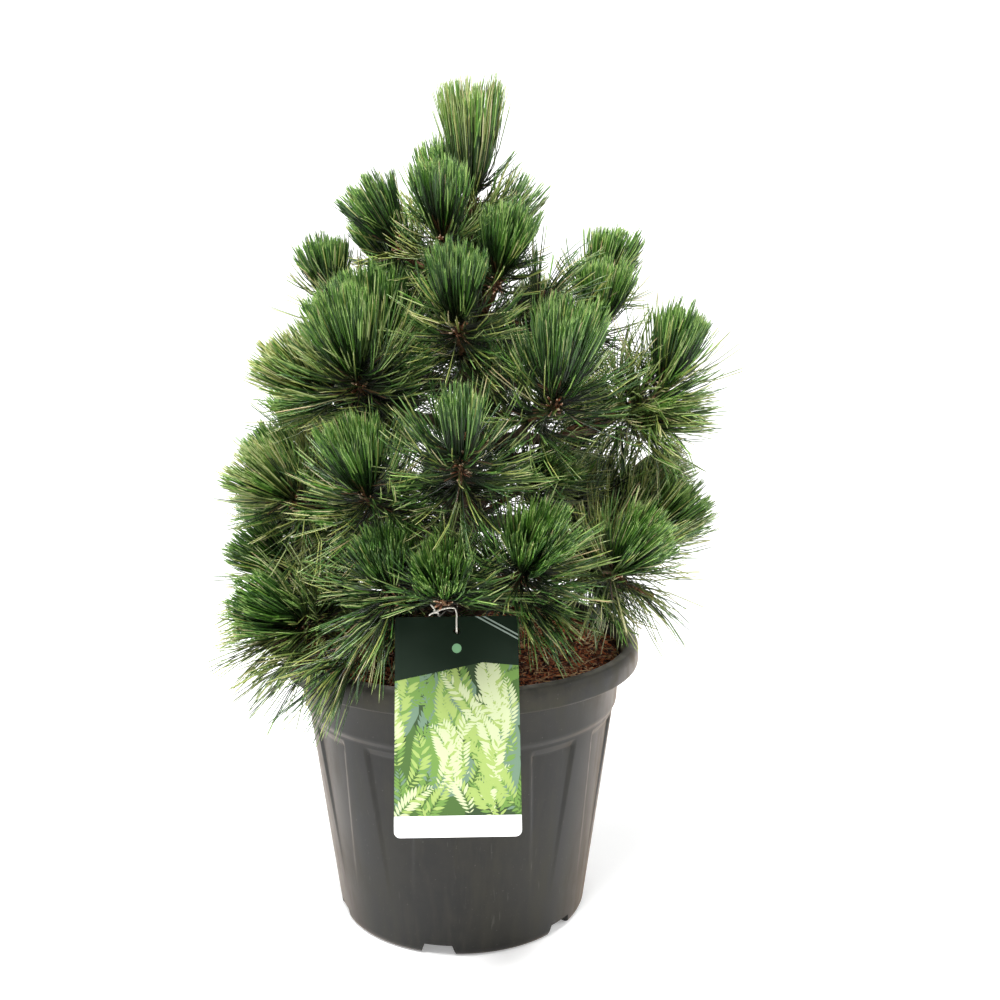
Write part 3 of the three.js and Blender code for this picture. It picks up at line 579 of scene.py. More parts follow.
def pot_tree():
    """Turns an outline round the axis, presses the flutes in and cuts the notches of the foot."""
    inputs = {"Rows": "Int", "Steps": "Int", "Depth": "Float", "Plastic": "Material"}
    tree, outline, rows, steps, depth, plastic = new_tree("turned_pot", **inputs)
    grid = {"Size X": 1.0, "Size Y": 1.0, "Vertices X": rows, "Vertices Y": steps}
    place = tree.node("GeometryNodeInputPosition")
    across, along, above = tree.split(place)
    row = (across + 0.5) * (rows - 1)
    picked = {"Geometry": outline, "Value": place, "Index": row.math("ROUND", row)}
    picked = tree.node("GeometryNodeSampleIndex", picked, data_type="FLOAT_VECTOR")
    radius, pressed, z = tree.split(picked)
    turn = (along + 0.5) * (2 * pi)
    fade = z.over(FLUTE_END_Z, FLUTE_FULL_Z) * (1 - z.over(FLUTE_FULL_Z, FLUTE_TOP_Z))
    half = FLUTE_HALF_END + (FLUTE_HALF_TOP - FLUTE_HALF_END) * z.over(FLUTE_END_Z, FLUTE_TOP_Z)
    spacing = 360 / FLUTES
    degrees = turn * (180 / pi) + (360 - FLUTE_TURN + spacing / 2)
    off = degrees.math("MODULO", degrees, spacing) - spacing / 2
    inside = (half - off.math("ABSOLUTE", off)).over(-FLUTE_EDGE, FLUTE_EDGE)
    radius = radius - depth * pressed * fade * inside
    turned = tree.join(radius * turn.math("SINE", turn), radius * turn.math("COSINE", turn) * -1, z)
    turned = tree.moved(tree.node("GeometryNodeMeshGrid", grid), "Position", turned)
    closed = tree.node("GeometryNodeMergeByDistance", {"Geometry": turned, "Distance": 0.002})

    wide = NOTCH_END_SHARE - (above > 0) * (NOTCH_END_SHARE - NOTCH_TOP_SHARE)
    bar = tree.node("GeometryNodeMeshCube", {"Size": NOTCH_SIZE})
    bar = tree.moved(bar, "Position", tree.times(place, tree.join(wide, 1.0, 1.0)))
    ring = tree.node("GeometryNodeMeshCircle", {"Vertices": NOTCHES, "Radius": FOOT_RADIUS})
    swing = {"Rotation": (0, 0, radians(NOTCH_TURN - 90)), "Local Space": False}
    swing["Instances"] = tree.copies(ring, bar, tree.facing("Y", place))
    cut = {"Mesh 1": closed, "Mesh 2": tree.real(tree.node("GeometryNodeRotateInstances", swing))}
    notched = tree.node("GeometryNodeMeshBoolean", cut, operation="DIFFERENCE", solver="EXACT")
    return tree.end(notched, [plastic])


def make_pot():
    outside, inside = pot_outline()
    points = [(radius, 1, z) for radius, z in outside] + [(radius, 0, z) for radius, z in inside]
    pot = mesh_object("fluted_pot", points)
    sizes = {"Rows": len(points), "Steps": POT_STEPS_ROUND + 1, "Depth": FLUTE_DEPTH}
    grow(pot, pot_tree(), Plastic=moulded_plastic(), **sizes)
    pot.data.shade_smooth()
    pot.data.set_sharp_from_angle(angle=radians(POT_SHARP_ANGLE))
    place_in_frame(pot, "pot", "pot")


# Soil


def soil_height(reach):
    return np.interp(reach, (0, 70, 150, SOIL_RADIUS), (SOIL_TOP, SOIL_TOP, SOIL_EDGE_Z + 3, SOIL_EDGE_Z))


def make_soil():
    """The bed of bark and coir, with chips and fibres lying on it."""
    dice = np.random.default_rng(5)
    reach = np.linspace(0, 1, SOIL_RINGS)[1:] * SOIL_RADIUS
    turns = np.arange(SOIL_STEPS) * 2 * pi / SOIL_STEPS
    x, y = reach[:, None] * np.cos(turns), reach[:, None] * np.sin(turns)
    waves = dice.uniform(0.05, 0.35, (9, 3)) * (1, 20, 1)
    lumps = sum(np.sin(x * a + b) * np.sin(y * c + b * 2) for a, b, c in waves)
    z = soil_height(reach)[:, None] + 0.8 * lumps + dice.normal(0, 0.7, x.shape) - 1.0
    rows = [(0 * turns, 0 * turns, 0 * turns + SOIL_TOP - 1.0), *zip(x, y, z)]
    for radius in (SOIL_RADIUS - 0.2, 0):
        rows.append((radius * np.cos(turns), radius * np.sin(turns), 0 * turns + SOIL_EDGE_Z - 8))
    points = np.array(rows).transpose(0, 2, 1).reshape(-1, 3)
    faces = [face[::-1] for face in ring_faces(len(rows), SOIL_STEPS)]
    bed = mesh_object("soil_bed", points, faces)
    merge_doubles(bed)
    bed.data.materials.append(damp_peat())

    top = SOIL_RINGS * SOIL_STEPS - SOIL_STEPS
    chips = mesh_object("bark_chips", points[:top], [face for face in faces if max(face) < top])
    tints = plains("{}_bark_chip", CHIP_TINTS.items(), 0.9)
    grow(chips, chip_tree(), Count=CHIPS, Size=CHIP_SIZE, **tints)
    fibres = strands_on_soil(dice)
    place_in_frame(bed, "soil", "soil")
    place_in_frame(chips, "soil")
    place_in_frame(fibres, "soil")


def merge_doubles(piece):
    shape = bmesh.new()
    shape.from_mesh(piece.data)
    bmesh.ops.remove_doubles(shape, verts=shape.verts, dist=0.001)
    bmesh.ops.recalc_face_normals(shape, faces=shape.faces)
    shape.to_mesh(piece.data)
    shape.free()


def chip_tree():
    """Scatters flat chips over the soil, turned at random, in four tints."""
    inputs = {"Count": "Float", "Size": "Float", **{name: "Material" for name in CHIP_TINTS}}
    tree, soil, count, size, *tints = new_tree("scattered_chips", **inputs)
    spread = {"Mesh": soil, "Density": count / (pi * SOIL_RADIUS**2), "Seed": 4}
    points = tree.node("GeometryNodeDistributePointsOnFaces", spread)
    lump = tree.node("GeometryNodeMeshIcoSphere", {"Radius": size, "Subdivisions": 1})
    turns = {"Min": (-0.5, -0.5, 0), "Max": (0.5, 0.5, 6.28), "Seed": 1}
    sizes = {"Min": (0.25, 0.15, 0.08), "Max": (1.25, 0.6, 0.3), "Seed": 2}
    turn = tree.node("FunctionNodeRandomValue", turns, data_type="FLOAT_VECTOR")
    shape = tree.node("FunctionNodeRandomValue", sizes, data_type="FLOAT_VECTOR")
    kind = tree.node("FunctionNodeRandomValue", {2: 0.0, 3: 1.0, "Seed": 3}, 1, data_type="FLOAT")
    store = {"Geometry": tree.copies(points, lump, turn, shape), "Name": "kind", "Value": kind}
    chips = tree.node("GeometryNodeStoreNamedAttribute", store, data_type="FLOAT", domain="INSTANCE")
    return tree.end(chips, tints, tree.stored("kind"), CHIP_STARTS)


def strands_on_soil(dice):
    """Coir fibres and a few fallen needles lying over the chips."""
    reach = SOIL_RADIUS * np.sqrt(dice.uniform(0.02, 0.985, FIBRES))
    turn, way = dice.uniform(0, 2 * pi, (2, FIBRES))
    start = np.stack([reach * np.cos(turn), reach * np.sin(turn), 0 * turn], -1)
    fallen = np.arange(FIBRES) < FALLEN_NEEDLES
    length = np.where(fallen, dice.uniform(35, 75, FIBRES), dice.uniform(5, 18, FIBRES))[:, None, None]
    along = np.linspace(-0.5, 0.5, 5)[None, :, None]
    run = np.stack([np.cos(way), np.sin(way), 0 * way], -1)[:, None]
    side = np.stack([-np.sin(way), np.cos(way), 0 * way], -1)[:, None]
    bow = dice.normal(0, 1, (FIBRES, 1, 1)) * np.where(fallen, 0.2, 0.9)[:, None, None]
    curl = bow * (0.25 - along**2) + dice.normal(0, 0.02, (FIBRES, 5, 1))
    points = start[:, None] + length * (run * along + side * curl)
    far = np.hypot(points[..., 0], points[..., 1])
    points[..., :2] *= np.minimum(1, (SOIL_RADIUS - 1) / far)[..., None]
    ground = soil_height(np.hypot(points[..., 0], points[..., 1]))
    points[..., 2] = ground + 0.6 + np.abs(dice.normal(0, 1.1, points.shape[:2]))
    shift = np.repeat(np.where(fallen, 0.5, dice.normal(0, 0.4, FIBRES)), 5)
    thick = np.repeat(np.where(fallen, 0.6, 0.5)[:, None], 5, 1)
    fibres = strand_object("coir_fibres", points, thick, np.linspace(0, 1, 5), shift)
    grow(fibres, strand_tree(), Sides=3, **plains("coir_{}", zip(ZONE_NAMES, COIR_TINTS), 0.85))
    return fibres


# Strands: needles, fibres and the label's tie


def strand_object(name, points, radius, along=0, shift=0):
    """An object of open chains, one for each strand, that a tree draws out into tubes."""
    strands, per = points.shape[:2]
    first = (np.arange(strands)[:, None] * per + np.arange(per - 1)).ravel()
    made = mesh_object(name, points.reshape(-1, 3), (), np.stack([first, first + 1], -1))
    give(made, "along", "FLOAT", np.tile(np.ones(per) * along, strands) + shift)
    give(made, "thick", "FLOAT", radius)
    return made


def tubes_along(tree, chains, sides):
    """Round tubes with closed ends along chains, as thick as their points say."""
    ring = tree.node("GeometryNodeCurvePrimitiveCircle", {"Resolution": sides, "Radius": 1.0}, mode="RADIUS")
    tubes = {"Curve": tree.node("GeometryNodeMeshToCurve", {"Mesh": chains}), "Profile Curve": ring}
    return tree.node("GeometryNodeCurveToMesh", {**tubes, "Fill Caps": True, "Scale": tree.stored("thick")})


def strand_tree():
    """Draws tubes along chains, in five materials from foot to tip."""
    inputs = {zone: "Material" for zone in ZONE_NAMES}
    tree, chains, sides, *zones = new_tree("drawn_strands", Sides="Int", **inputs)
    return tree.end(tree.smooth(tubes_along(tree, chains, sides)), zones, tree.stored("along"), ZONE_STARTS)


# Trunk, boughs and twigs


def unit(way):
    return way / np.linalg.norm(way, axis=-1, keepdims=True)


def bezier(a, b, c, d, t):
    t = np.asarray(t)[..., None]
    return a * (1 - t) ** 3 + 3 * b * t * (1 - t) ** 2 + 3 * c * t * t * (1 - t) + d * t**3


def run_of(line):
    """How far along the line each of its points lies."""
    return np.concatenate([[0], np.cumsum(np.linalg.norm(np.diff(line, axis=0), axis=1))])


def places_on(line, run, at):
    return np.stack([np.interp(at, run, line[:, k]) for k in range(3)], -1)


def evenly(line, count):
    """The same line in equal steps."""
    run = run_of(line)
    return places_on(line, run, np.linspace(0, run[-1], count))


def bend(start, start_way, stop, stop_way, count=TWIG_POINTS):
    span = np.linalg.norm(stop - start) * BEND_PULL
    fine = bezier(start, start + start_way * span, stop - stop_way * span, stop, np.linspace(0, 1, 80))
    return evenly(fine, count)


def trunk_line(count):
    foot, tip = np.array([0, 0, SOIL_TOP + GAP]), np.array(TRUNK_TIP, float)
    low, high = np.array([0, 0, 450]), np.array([tip[0] - 2, 6, 620])
    return evenly(bezier(foot, low, high, tip, np.linspace(0, 1, 200)), count)


def shoot_of(row):
    azimuth, reach, height, lean, length, full, dense = (*row, 1, 1)[:7]
    turn, lean = radians(azimuth), radians(lean)
    bud = np.array([reach * cos(turn), reach * sin(turn), height])
    axis = np.array([sin(lean) * cos(turn), sin(lean) * sin(turn), cos(lean)])
    return bud, axis, length, full, dense


def skeleton(leaves, has_bough, rows):
    """The limbs of one mass: its bough, if any, and to each shoot a twig, as line, radius and shoot."""
    shoots = [shoot_of(row) for row in rows]
    trunk = trunk_line(200)
    start = places_on(trunk, trunk[:, 2], leaves)
    middle, way = (np.mean([shoot[k] for shoot in shoots], axis=0) for k in (0, 1))
    rise = radians(BOUGH_RISE)
    leave = unit((middle - start) * (1, 1, 0)) * cos(rise) + UP * sin(rise)
    if not has_bough:
        return None, [(bend(start, leave, *shoots[0][:2]), STEM_RADIUS, shoots[0])]
    pull = unit(middle - start)
    fork = middle - pull * FORK_PULL
    fork[2] = max(fork[2] - FORK_PULL * 0.2, start[2] + 8)
    arrive = unit(unit(way) + pull)
    root = fork + arrive * STEM_LENGTH * 0.3
    twigs = [(bend(root, arrive, *shoot[:2]), BOUGH_TIP_RADIUS, shoot) for shoot in shoots]
    return bend(start, leave, fork, arrive, BOUGH_POINTS), twigs


def bark_tree():
    """Draws a limb along a chain and raises its bark by noise and plates."""
    inputs = {"Sides": "Int", "Relief": "Float", "Plate": "Float", "Bark": "Material"}
    tree, chains, sides, relief, plate, bark = new_tree("drawn_limb", **inputs)
    place = tree.node("GeometryNodeInputPosition")
    plates = tree.plates(tree.times(place, (1, 1, 0.5)), 1 / plate)
    raised = (plates.over(0, 0.18) + tree.noise(place, 2 / plate, 3, 0.6) - 0.8) * relief
    offset = {0: tree.node("GeometryNodeInputNormal"), "Scale": raised}
    offset = tree.node("ShaderNodeVectorMath", offset, operation="SCALE")
    return tree.end(tree.smooth(tree.moved(tubes_along(tree, chains, sides), "Offset", offset)), [bark])


def tapered(count, foot, tip, swell, swell_share):
    """A limb's radius at each of its points, swelling at its foot."""
    share = np.linspace(0, 1, count)
    return foot + (tip - foot) * share + swell * np.maximum(0, 1 - share / swell_share) ** 2


def make_limbs(name, lines, bark, sides, relief, plate, nodes):
    """Barked limbs; each line comes with its radius at every point."""
    piece = strand_object(name, *(np.array(part) for part in zip(*lines)))
    grow(piece, bark_tree(), Sides=sides, Relief=relief, Plate=plate, Bark=bark)
    place_in_frame(piece, "bark", *nodes)


# Needles


def around(axis):
    """Two directions square to each axis."""
    first = unit(np.array([1.0, 0, 0]) - axis * axis[..., :1])
    return first, np.cross(axis, first)


def turned_about(axis, turn):
    """Directions square to the axis, at each turn about it."""
    first, second = around(axis)
    return np.cos(turn)[:, None] * first + np.sin(turn)[:, None] * second


def on_disc(share, turn):
    return share * np.stack([np.cos(turn), np.sin(turn)])


def brush(shoot, dice):
    """This year's needles: in pairs up the candle, their tips gathered in locks at a domed top."""
    bud, axis, length, full, dense = shoot
    radius = (BRUSH_RADIUS + length * BRUSH_RADIUS_SHARE) * full
    pairs = int(BRUSH_DENSITY * dense * radius**2 / 2)
    share = np.sqrt(dice.uniform(0, 1, pairs))
    turn = dice.uniform(0, 2 * pi, pairs)
    radial = turned_about(axis, turn)
    rise = length * CANDLE_SHARE * (1 - share) * dice.uniform(0.5, 1.05, pairs)
    root = bud + axis * rise[:, None] + radial * 2.8

    place = on_disc(share, turn)
    locks = on_disc(np.sqrt(dice.uniform(0, 1, LOCKS)), dice.uniform(0, 2 * pi, LOCKS))
    nearest = ((place[:, :, None] - locks[:, None]) ** 2).sum(0).argmin(1)
    place += (locks[:, nearest] - place) * LOCK_PULL
    place *= np.where(dice.uniform(size=pairs) < STRAY_SHARE, STRAY_SPREAD, 1)
    oval = dice.uniform(0.86, 1.08, 2)
    first, second = around(axis)
    side = place[0][:, None] * first * oval[0] + place[1][:, None] * second * oval[1]
    tall = 1 - 0.15 * share**2 - 0.2 * dice.uniform(0, 1, pairs) ** 2 + dice.normal(0, 0.05, LOCKS)[nearest]
    tip = bud + side * radius + axis * (length * tall)[:, None]

    out = np.radians(7 + 29 * share + dice.normal(0, 7, pairs))[:, None]
    start_way = radial * np.sin(out) + axis * np.cos(out)
    stop_way = unit(axis + radial * 0.34 * share[:, None] + UP * 0.06 + dice.normal(0, 0.12, root.shape))
    return twins(root, start_way, tip, stop_way, 0.36, dice, 2.6)


def combed(turn, tilt, dice):
    """Turns and tilts drawn together into locks, so that neighbours lie side by side."""
    lock_turn = dice.uniform(0, 2 * pi, FAN_LOCKS)
    lock_tilt = dice.choice(tilt, FAN_LOCKS)
    off = (turn[:, None] - lock_turn + pi) % (2 * pi) - pi
    nearest = (off**2 + (tilt[:, None] - lock_tilt) ** 2).argmin(1)
    nearest_off = off[np.arange(len(turn)), nearest]
    return turn - nearest_off * LOCK_PULL, tilt + (lock_tilt[nearest] - tilt) * LOCK_PULL


def along_twig(line, back):
    """Places on a twig some way back from its bud, and the twig's direction there."""
    line = line[::-1]
    run = run_of(line)
    back = np.minimum(back, run[-1] - 1)
    at = places_on(line, run, back)
    return at, unit(at - places_on(line, run, back + 1) + 1e-9)


def fan(line, shoot, dice, count, back, tilts, long, curl, droop):
    """Needles in pairs down a twig, spreading from it and curling forward or drooping."""
    axis = shoot[1]
    pairs = count // 2
    share = dice.uniform(0, 1, pairs)
    far = back[0] + (back[1] - back[0]) * share**1.2
    root, way = along_twig(line, np.maximum(far, 0))
    root = root - axis * np.minimum(far, 0)[:, None]
    turn = dice.uniform(0, 2 * pi, pairs)
    tilt = np.radians(tilts[0] + (tilts[1] - tilts[0]) * share + dice.normal(0, 9, pairs))
    turn, tilt = combed(turn, tilt, dice)
    radial = turned_about(way, turn)
    if droop < DROOPING:
        kept = dice.uniform(size=pairs) > FEWER_BELOW * np.maximum(0, -radial[:, 2])
        root, way, tilt, radial, pairs = root[kept], way[kept], tilt[kept], radial[kept], int(kept.sum())
    start_way = radial * np.sin(tilt)[:, None] + way * np.cos(tilt)[:, None]
    long = long * dice.triangular(0.55, 1, 1.08, pairs)[:, None]
    sag = -UP * droop * dice.uniform(0.5, 1.5, (pairs, 1))
    bow = way * curl * dice.uniform(0.3, 1.6, (pairs, 1)) + dice.normal(0, 0.18, root.shape)
    chord = unit(start_way + bow * 0.45 + sag * 0.5)
    stop_way = unit(start_way + bow + sag)
    return twins(root + radial * 2.2, start_way, root + chord * long, stop_way, 0.4, dice, 3.2)


def twins(root, start_way, tip, stop_way, pull, dice, apart):
    """Two needles from each root, their tips a little apart."""
    aside = unit(np.cross(start_way, dice.normal(0, 1, root.shape)))
    t = np.array(NEEDLE_AT) + np.array(NEEDLE_AT_JITTER) * dice.normal(0, 1, (len(root), 1))
    lines = []
    for sign in (-1, 1):
        end = tip + aside * sign * apart * dice.uniform(0.4, 1.3, (len(root), 1))
        span = np.linalg.norm(end - root, axis=1)[:, None] * pull
        corners = (root + aside * sign * 0.8, root + start_way * span, end - stop_way * span, end)
        lines.append(bezier(*(corner[:, None] for corner in corners), t))
    return np.concatenate(lines)


def sprays(line, shoot, dice):
    """The needles of one shoot: its brush, the ones round its foot, and the old ones behind."""
    bud, axis, length, *_ = shoot
    low = float(np.clip((520 - bud[2]) / 200, 0, 1))
    leftward = -bud[0] / hypot(bud[0], bud[1])
    hang = low * (0.5 + 0.5 * leftward)
    few, short = (float(np.interp(bud[2], (610, 710), (1, least))) for least in (0.45, 0.7))
    side_long, old_long = min(length, 96) * short, OLD_LENGTH * short
    side_count, old_count = int(SIDE_COUNT * few), int(OLD_COUNT * few)
    steep = float(np.interp(abs(bud[0]), (50, 90), (68, 52)))
    year = "side" if axis[2] < 0.72 and bud[2] > 460 else "new"
    yield "top" if bud[2] > 780 else year, bud, brush(shoot, dice)
    for kind, *form in (
        ("side", side_count, (-14, 14), (steep, 100), side_long, 1.1, 0.04 + 0.3 * hang),
        ("old", old_count, (2, 80), (76, 118), old_long, 1.15 - 0.9 * hang, 0.06 + 1.1 * hang),
        ("inner", INNER_COUNT, (50, 130), (60, 100), old_long * 0.8, 0.5, 0.1),
    ):
        yield kind, bud, fan(line, shoot, dice, *form)


def finer(lines, between):
    """The lines with more points put between theirs."""
    parts = [lines[:, :-1] + (lines[:, 1:] - lines[:, :-1]) * k / between for k in range(between)]
    return np.concatenate([np.stack(parts, 2).reshape(len(lines), -1, 3), lines[:, -1:]], 1)


def from_camera(points):
    """Where points show from the camera, in thousandths of the picture from its top left."""
    off = points - np.array(CAMERA_PLACE) / MM
    turn = radians(CAMERA_DOWN)
    far = off[..., 1] * cos(turn) - off[..., 2] * sin(turn)
    up = off[..., 1] * sin(turn) + off[..., 2] * cos(turn)
    scale = 1000 * CAMERA_LENS / CAMERA_SENSOR
    return 500 + scale * off[..., 0] / far, 500 - scale * up / far


def in_reach(lines, dice, gaps):
    """Needles that keep to the plant's reach, go through neither pot, soil nor label, and hide no print."""
    low, high = ((np.array(corner) - POT_AXIS) / MM for corner in (cad_low, cad_high))
    keep = ((lines > low - REACH_SLACK) & (lines < high + REACH_SLACK)).all((1, 2))
    fine = finer(lines, 4)
    far, z = np.hypot(fine[..., 0], fine[..., 1]), fine[..., 2]
    wall = np.where(z > POT_HEIGHT - RIM_SKIRT - 3, RIM_RADIUS + 2, wall_radius(z) + 8)
    open_top = (far < RIM_RADIUS - 19) & (z > SOIL_TOP + 1)
    keep &= ~((far < wall) & (z < POT_HEIGHT + 2) & ~open_top).any(1)

    place = np.linalg.inv(np.array(label_frame()))
    half, top = LABEL_WIDTH / 2, LABEL_LENGTH / 2
    x, y, out = np.moveaxis(fine @ place[:3, :3].T + place[:3, 3], -1, 0)
    over = (np.abs(x) < half + 3) & (np.abs(y) < top + 3)
    keep &= ~(over & (np.abs(out) < 3)).any(1)
    crossing = over[:, 1:] & over[:, :-1] & (out[:, 1:] * out[:, :-1] < 0)
    eye = place[:3, :3] @ (np.array(CAMERA_PLACE) / MM) + place[:3, 3]
    share = eye[2] / (eye[2] - out)
    seen_x, seen_y = eye[0] + (x - eye[0]) * share, eye[1] + (y - eye[1]) * share
    hides = (out > 0) & (np.abs(seen_x) < half - 1) & (np.abs(seen_y) < top)
    hides &= (seen_x > -34) | (seen_y < top - 24)
    tie = (out > -9) & (np.abs(seen_x + 10) < 15) & (np.abs(seen_y - top - 5) < 7)
    keep &= ~(crossing.any(1) | hides.any(1) | tie.any(1))

    shown_x, shown_y = from_camera(fine)
    for x, y, wide, high, left in gaps:
        inside = (((shown_x - x) / wide) ** 2 + ((shown_y - y) / high) ** 2 < 1).any(1)
        keep &= ~inside | (dice.uniform(size=len(lines)) < left)
    return keep


def dealt(kind, bud, count, dice):
    """Tints dealt out to a spray by how far out its bud is, darker ones as painted shade deep in the crown:
    a common one leads, the rest fill in.
    """
    # Painted shade: buds low in the crown's middle front get the darker tints, and buds high, to the sides
    # and at the back get the lighter ones.
    out = max(0, abs(bud[0]) - 25) / 165 + max(0, bud[2] - 600) / 250 + 0.5 * (bud[1] > 0)
    out = min(1, 0.12 + out)
    shares = [shaded * (1 - out) + light * out for shaded, light in zip(*MIXES[kind])]
    weights = np.array([share / sum(shares) for share in shares])
    common = weights * (weights > 0.1)
    lead = dice.choice(len(weights), p=common / common.sum())
    picked = dice.choice(len(weights), size=count, p=weights)
    picked[dice.uniform(size=count) < 0.3] = lead
    return picked


def make_needles(twigs, wisps, dice):
    """Every shoot's sprays and the hanging wisps, sorted by tint into pieces."""
    found = {name: [] for name in GREENS}
    groups = [group for line, _, shoot in twigs for group in sprays(line, shoot, dice)]
    for line, _, shoot in wisps:
        bud, _, length, _, dense = shoot
        hanging = fan(line, shoot, dice, int(WISP_COUNT * dense), *WISP_SPREAD, length, *WISP_BEND)
        groups.append(("old" if bud[2] < 500 else "inner", bud, hanging))
    for kind, bud, group in groups:
        tints = dealt(kind, bud, len(group), dice)
        keep = in_reach(group, dice, () if kind in ("new", "top") else GAPS)
        for number, kept in enumerate(found.values()):
            kept.append(group[keep & (tints == number)])
    found["sheath"] = [fan(line, shoot, dice, *SHEATHS) for line, _, shoot in twigs]
    tree = strand_tree()
    for name, groups in found.items():
        group = np.concatenate(groups)
        finishes = plains(name + "_needle_{}", zip(ZONE_NAMES, GREENS[name]), **NEEDLE_GLOSS)
        for part, piece in enumerate(np.array_split(group, 1 + len(group) // NEEDLES_A_PIECE)):
            jitter = np.repeat(dice.normal(0, 0.1, len(piece)), len(NEEDLE_AT))
            radius = np.array(NEEDLE_TAPER) * NEEDLE_RADIUS * dice.uniform(0.82, 1.12, (len(piece), 1))
            stout = SHEATH_STOUT if name == "sheath" else 1
            needles = strand_object(f"{name}_needles_{part}", piece, radius * stout, NEEDLE_AT, jitter)
            grow(needles, tree, Sides=3, **finishes)
            place_in_frame(needles, "needles")


def make_plant():
    """Trunk, boughs, twigs, needles and buds; returns the boughs' lines by name."""
    dice = np.random.default_rng(31)
    leader = shoot_of(LEADER_SHOOT)
    twigs = [(bend(np.array(TRUNK_TIP, float), UP, *leader[:2]), TRUNK_TIP_RADIUS, leader)]
    boughs, wisps = {}, []
    for name, leaves, has_bough, rows in CROWN:
        bough, made = skeleton(leaves, has_bough, rows)
        stem = made[0][0]
        fork = len(stem) // 3
        for row, hanging in (rest for mass, *rest in SIDE_SHOOTS if mass == name):
            side = shoot_of(row)
            twig = bend(stem[fork], unit(stem[fork + 1] - stem[fork]), *side[:2])
            (wisps if hanging else made).append((twig, TWIG_RADIUS, side))
        twigs += made
        if has_bough:
            boughs[name] = bough

    pine_bark = scaly_bark("grey_brown_bark", tint(62, 50, 40), tint(120, 102, 86), 70)
    thick = tapered(TRUNK_POINTS, TRUNK_RADIUS, TRUNK_TIP_RADIUS, FLARE_RADIUS - TRUNK_RADIUS, FLARE_SHARE)
    make_limbs("trunk_bark", [(trunk_line(TRUNK_POINTS), thick)], pine_bark, 56, 1.6, 11.0, ["trunk"])
    thick = tapered(BOUGH_POINTS, BOUGH_RADIUS, BOUGH_TIP_RADIUS, COLLAR, COLLAR_SHARE)
    nodes = ["bough_" + name for name in boughs]
    make_limbs("bough_bark", [(bough, thick) for bough in boughs.values()], pine_bark, 18, 0.8, 5.0, nodes)

    lines = []
    for line, foot, (bud, axis, length, *_) in twigs + wisps:
        candle = bud + axis * np.linspace(0, length * CANDLE_SHARE, 8)[1:, None]
        run = evenly(np.concatenate([line, candle]), TWIG_POINTS)
        lines.append((run, np.linspace(foot, TWIG_TIP_RADIUS * 0.8, TWIG_POINTS)))
    twig_bark = scaly_bark("brown_twig_bark", tint(70, 48, 32), tint(126, 92, 62), 190)
    nodes = ["needles_" + name for name in ("leader", *(row[0] for row in CROWN))]
    make_limbs("twig_bark", lines, twig_bark, 10, 0.5, 2.6, nodes)
    make_needles(twigs, wisps, dice)
    make_buds([shoot for _, _, shoot in twigs], dice)
    return boughs


# Buds


def bud_shape():
    """One bud, a unit long: a pointed body under a spiral of overlapping scales."""
    up = np.linspace(0, 1, BUD_RINGS)
    swell = 0.2 * np.sin(pi * np.clip(up * 0.82 + 0.2, 0, 1)) ** 0.8 + 0.01
    turns = np.arange(BUD_SIDES) * 2 * pi / BUD_SIDES
    points = [(r * cos(a), r * sin(a), z) for z, r in zip(up, swell) for a in turns]
    faces = ring_faces(BUD_RINGS, BUD_SIDES)
    faces += [tuple(range(BUD_SIDES))[::-1], tuple(range(len(points) - BUD_SIDES, len(points)))]
    body = len(faces)
    for k in range(BUD_SCALES):
        z, turn = 0.02 + 0.84 * k / BUD_SCALES, k * GOLDEN_TURN
        r = np.interp(z, up, swell)
        out = np.array([cos(turn), sin(turn), 0])
        side = np.array([-sin(turn), cos(turn), 0]) * 0.08
        corners = ((-0.02, 0), (0.05, 0.22), (0.07, 0.08))
        foot, tip, ridge = (out * (r + wide) + UP * (z + high) for wide, high in corners)
        scale = ((0, 1, 3), (1, 2, 3), (2, 0, 3), (0, 2, 1))
        faces += [tuple(len(points) + corner for corner in face) for face in scale]
        points += [foot - side, foot + side, tip, ridge]
    shape = mesh_object("bud_shape", points, faces)
    give(shape, "scaly", "FLOAT", np.arange(len(faces)) >= body, "FACE")
    return shape


def bud_tree():
    """Sets a bud at every point, along the way and at the size that the point says."""
    tree, points, shape, *finishes = new_tree("set_buds", Shape="Object", Body="Material", Scales="Material")
    bud = tree.node("GeometryNodeObjectInfo", {"Object": shape}, "Geometry")
    turn = tree.facing("Z", tree.stored("way", "FLOAT_VECTOR"))
    buds = tree.copies(points, bud, turn, tree.stored("size"))
    return tree.end(buds, finishes, tree.stored("scaly"), [0.5])


def make_buds(shoots, dice):
    """A main bud with a ring of lesser ones at the top of every candle."""
    rows = []
    for bud, axis, length, *_ in shoots:
        top = bud + axis * length * CANDLE_SHARE
        first, second = around(axis)
        rows.append((top - axis, axis, dice.uniform(15, 19)))
        for k in range(SIDE_BUDS):
            turn = 2 * pi * (k + dice.uniform(-0.2, 0.2)) / SIDE_BUDS
            radial = cos(turn) * first + sin(turn) * second
            rows.append((top - axis * 2 + radial * 2.4, unit(axis + radial * 0.55), dice.uniform(8, 12)))
    places, ways, sizes = zip(*rows)
    buds = mesh_object("resin_buds", places)
    give(buds, "way", "FLOAT_VECTOR", ways)
    give(buds, "size", "FLOAT", sizes)
    shape = bud_shape()
    tan = plain("bud_scale_tan", tint(172, 136, 100), 0.6)
    grow(buds, bud_tree(), Shape=shape, Body=plain("bud_brown", tint(104, 66, 42), 0.6), Scales=tan)
    bpy.data.objects.remove(shape)
    place_in_frame(buds, "bark")


# Label and tie


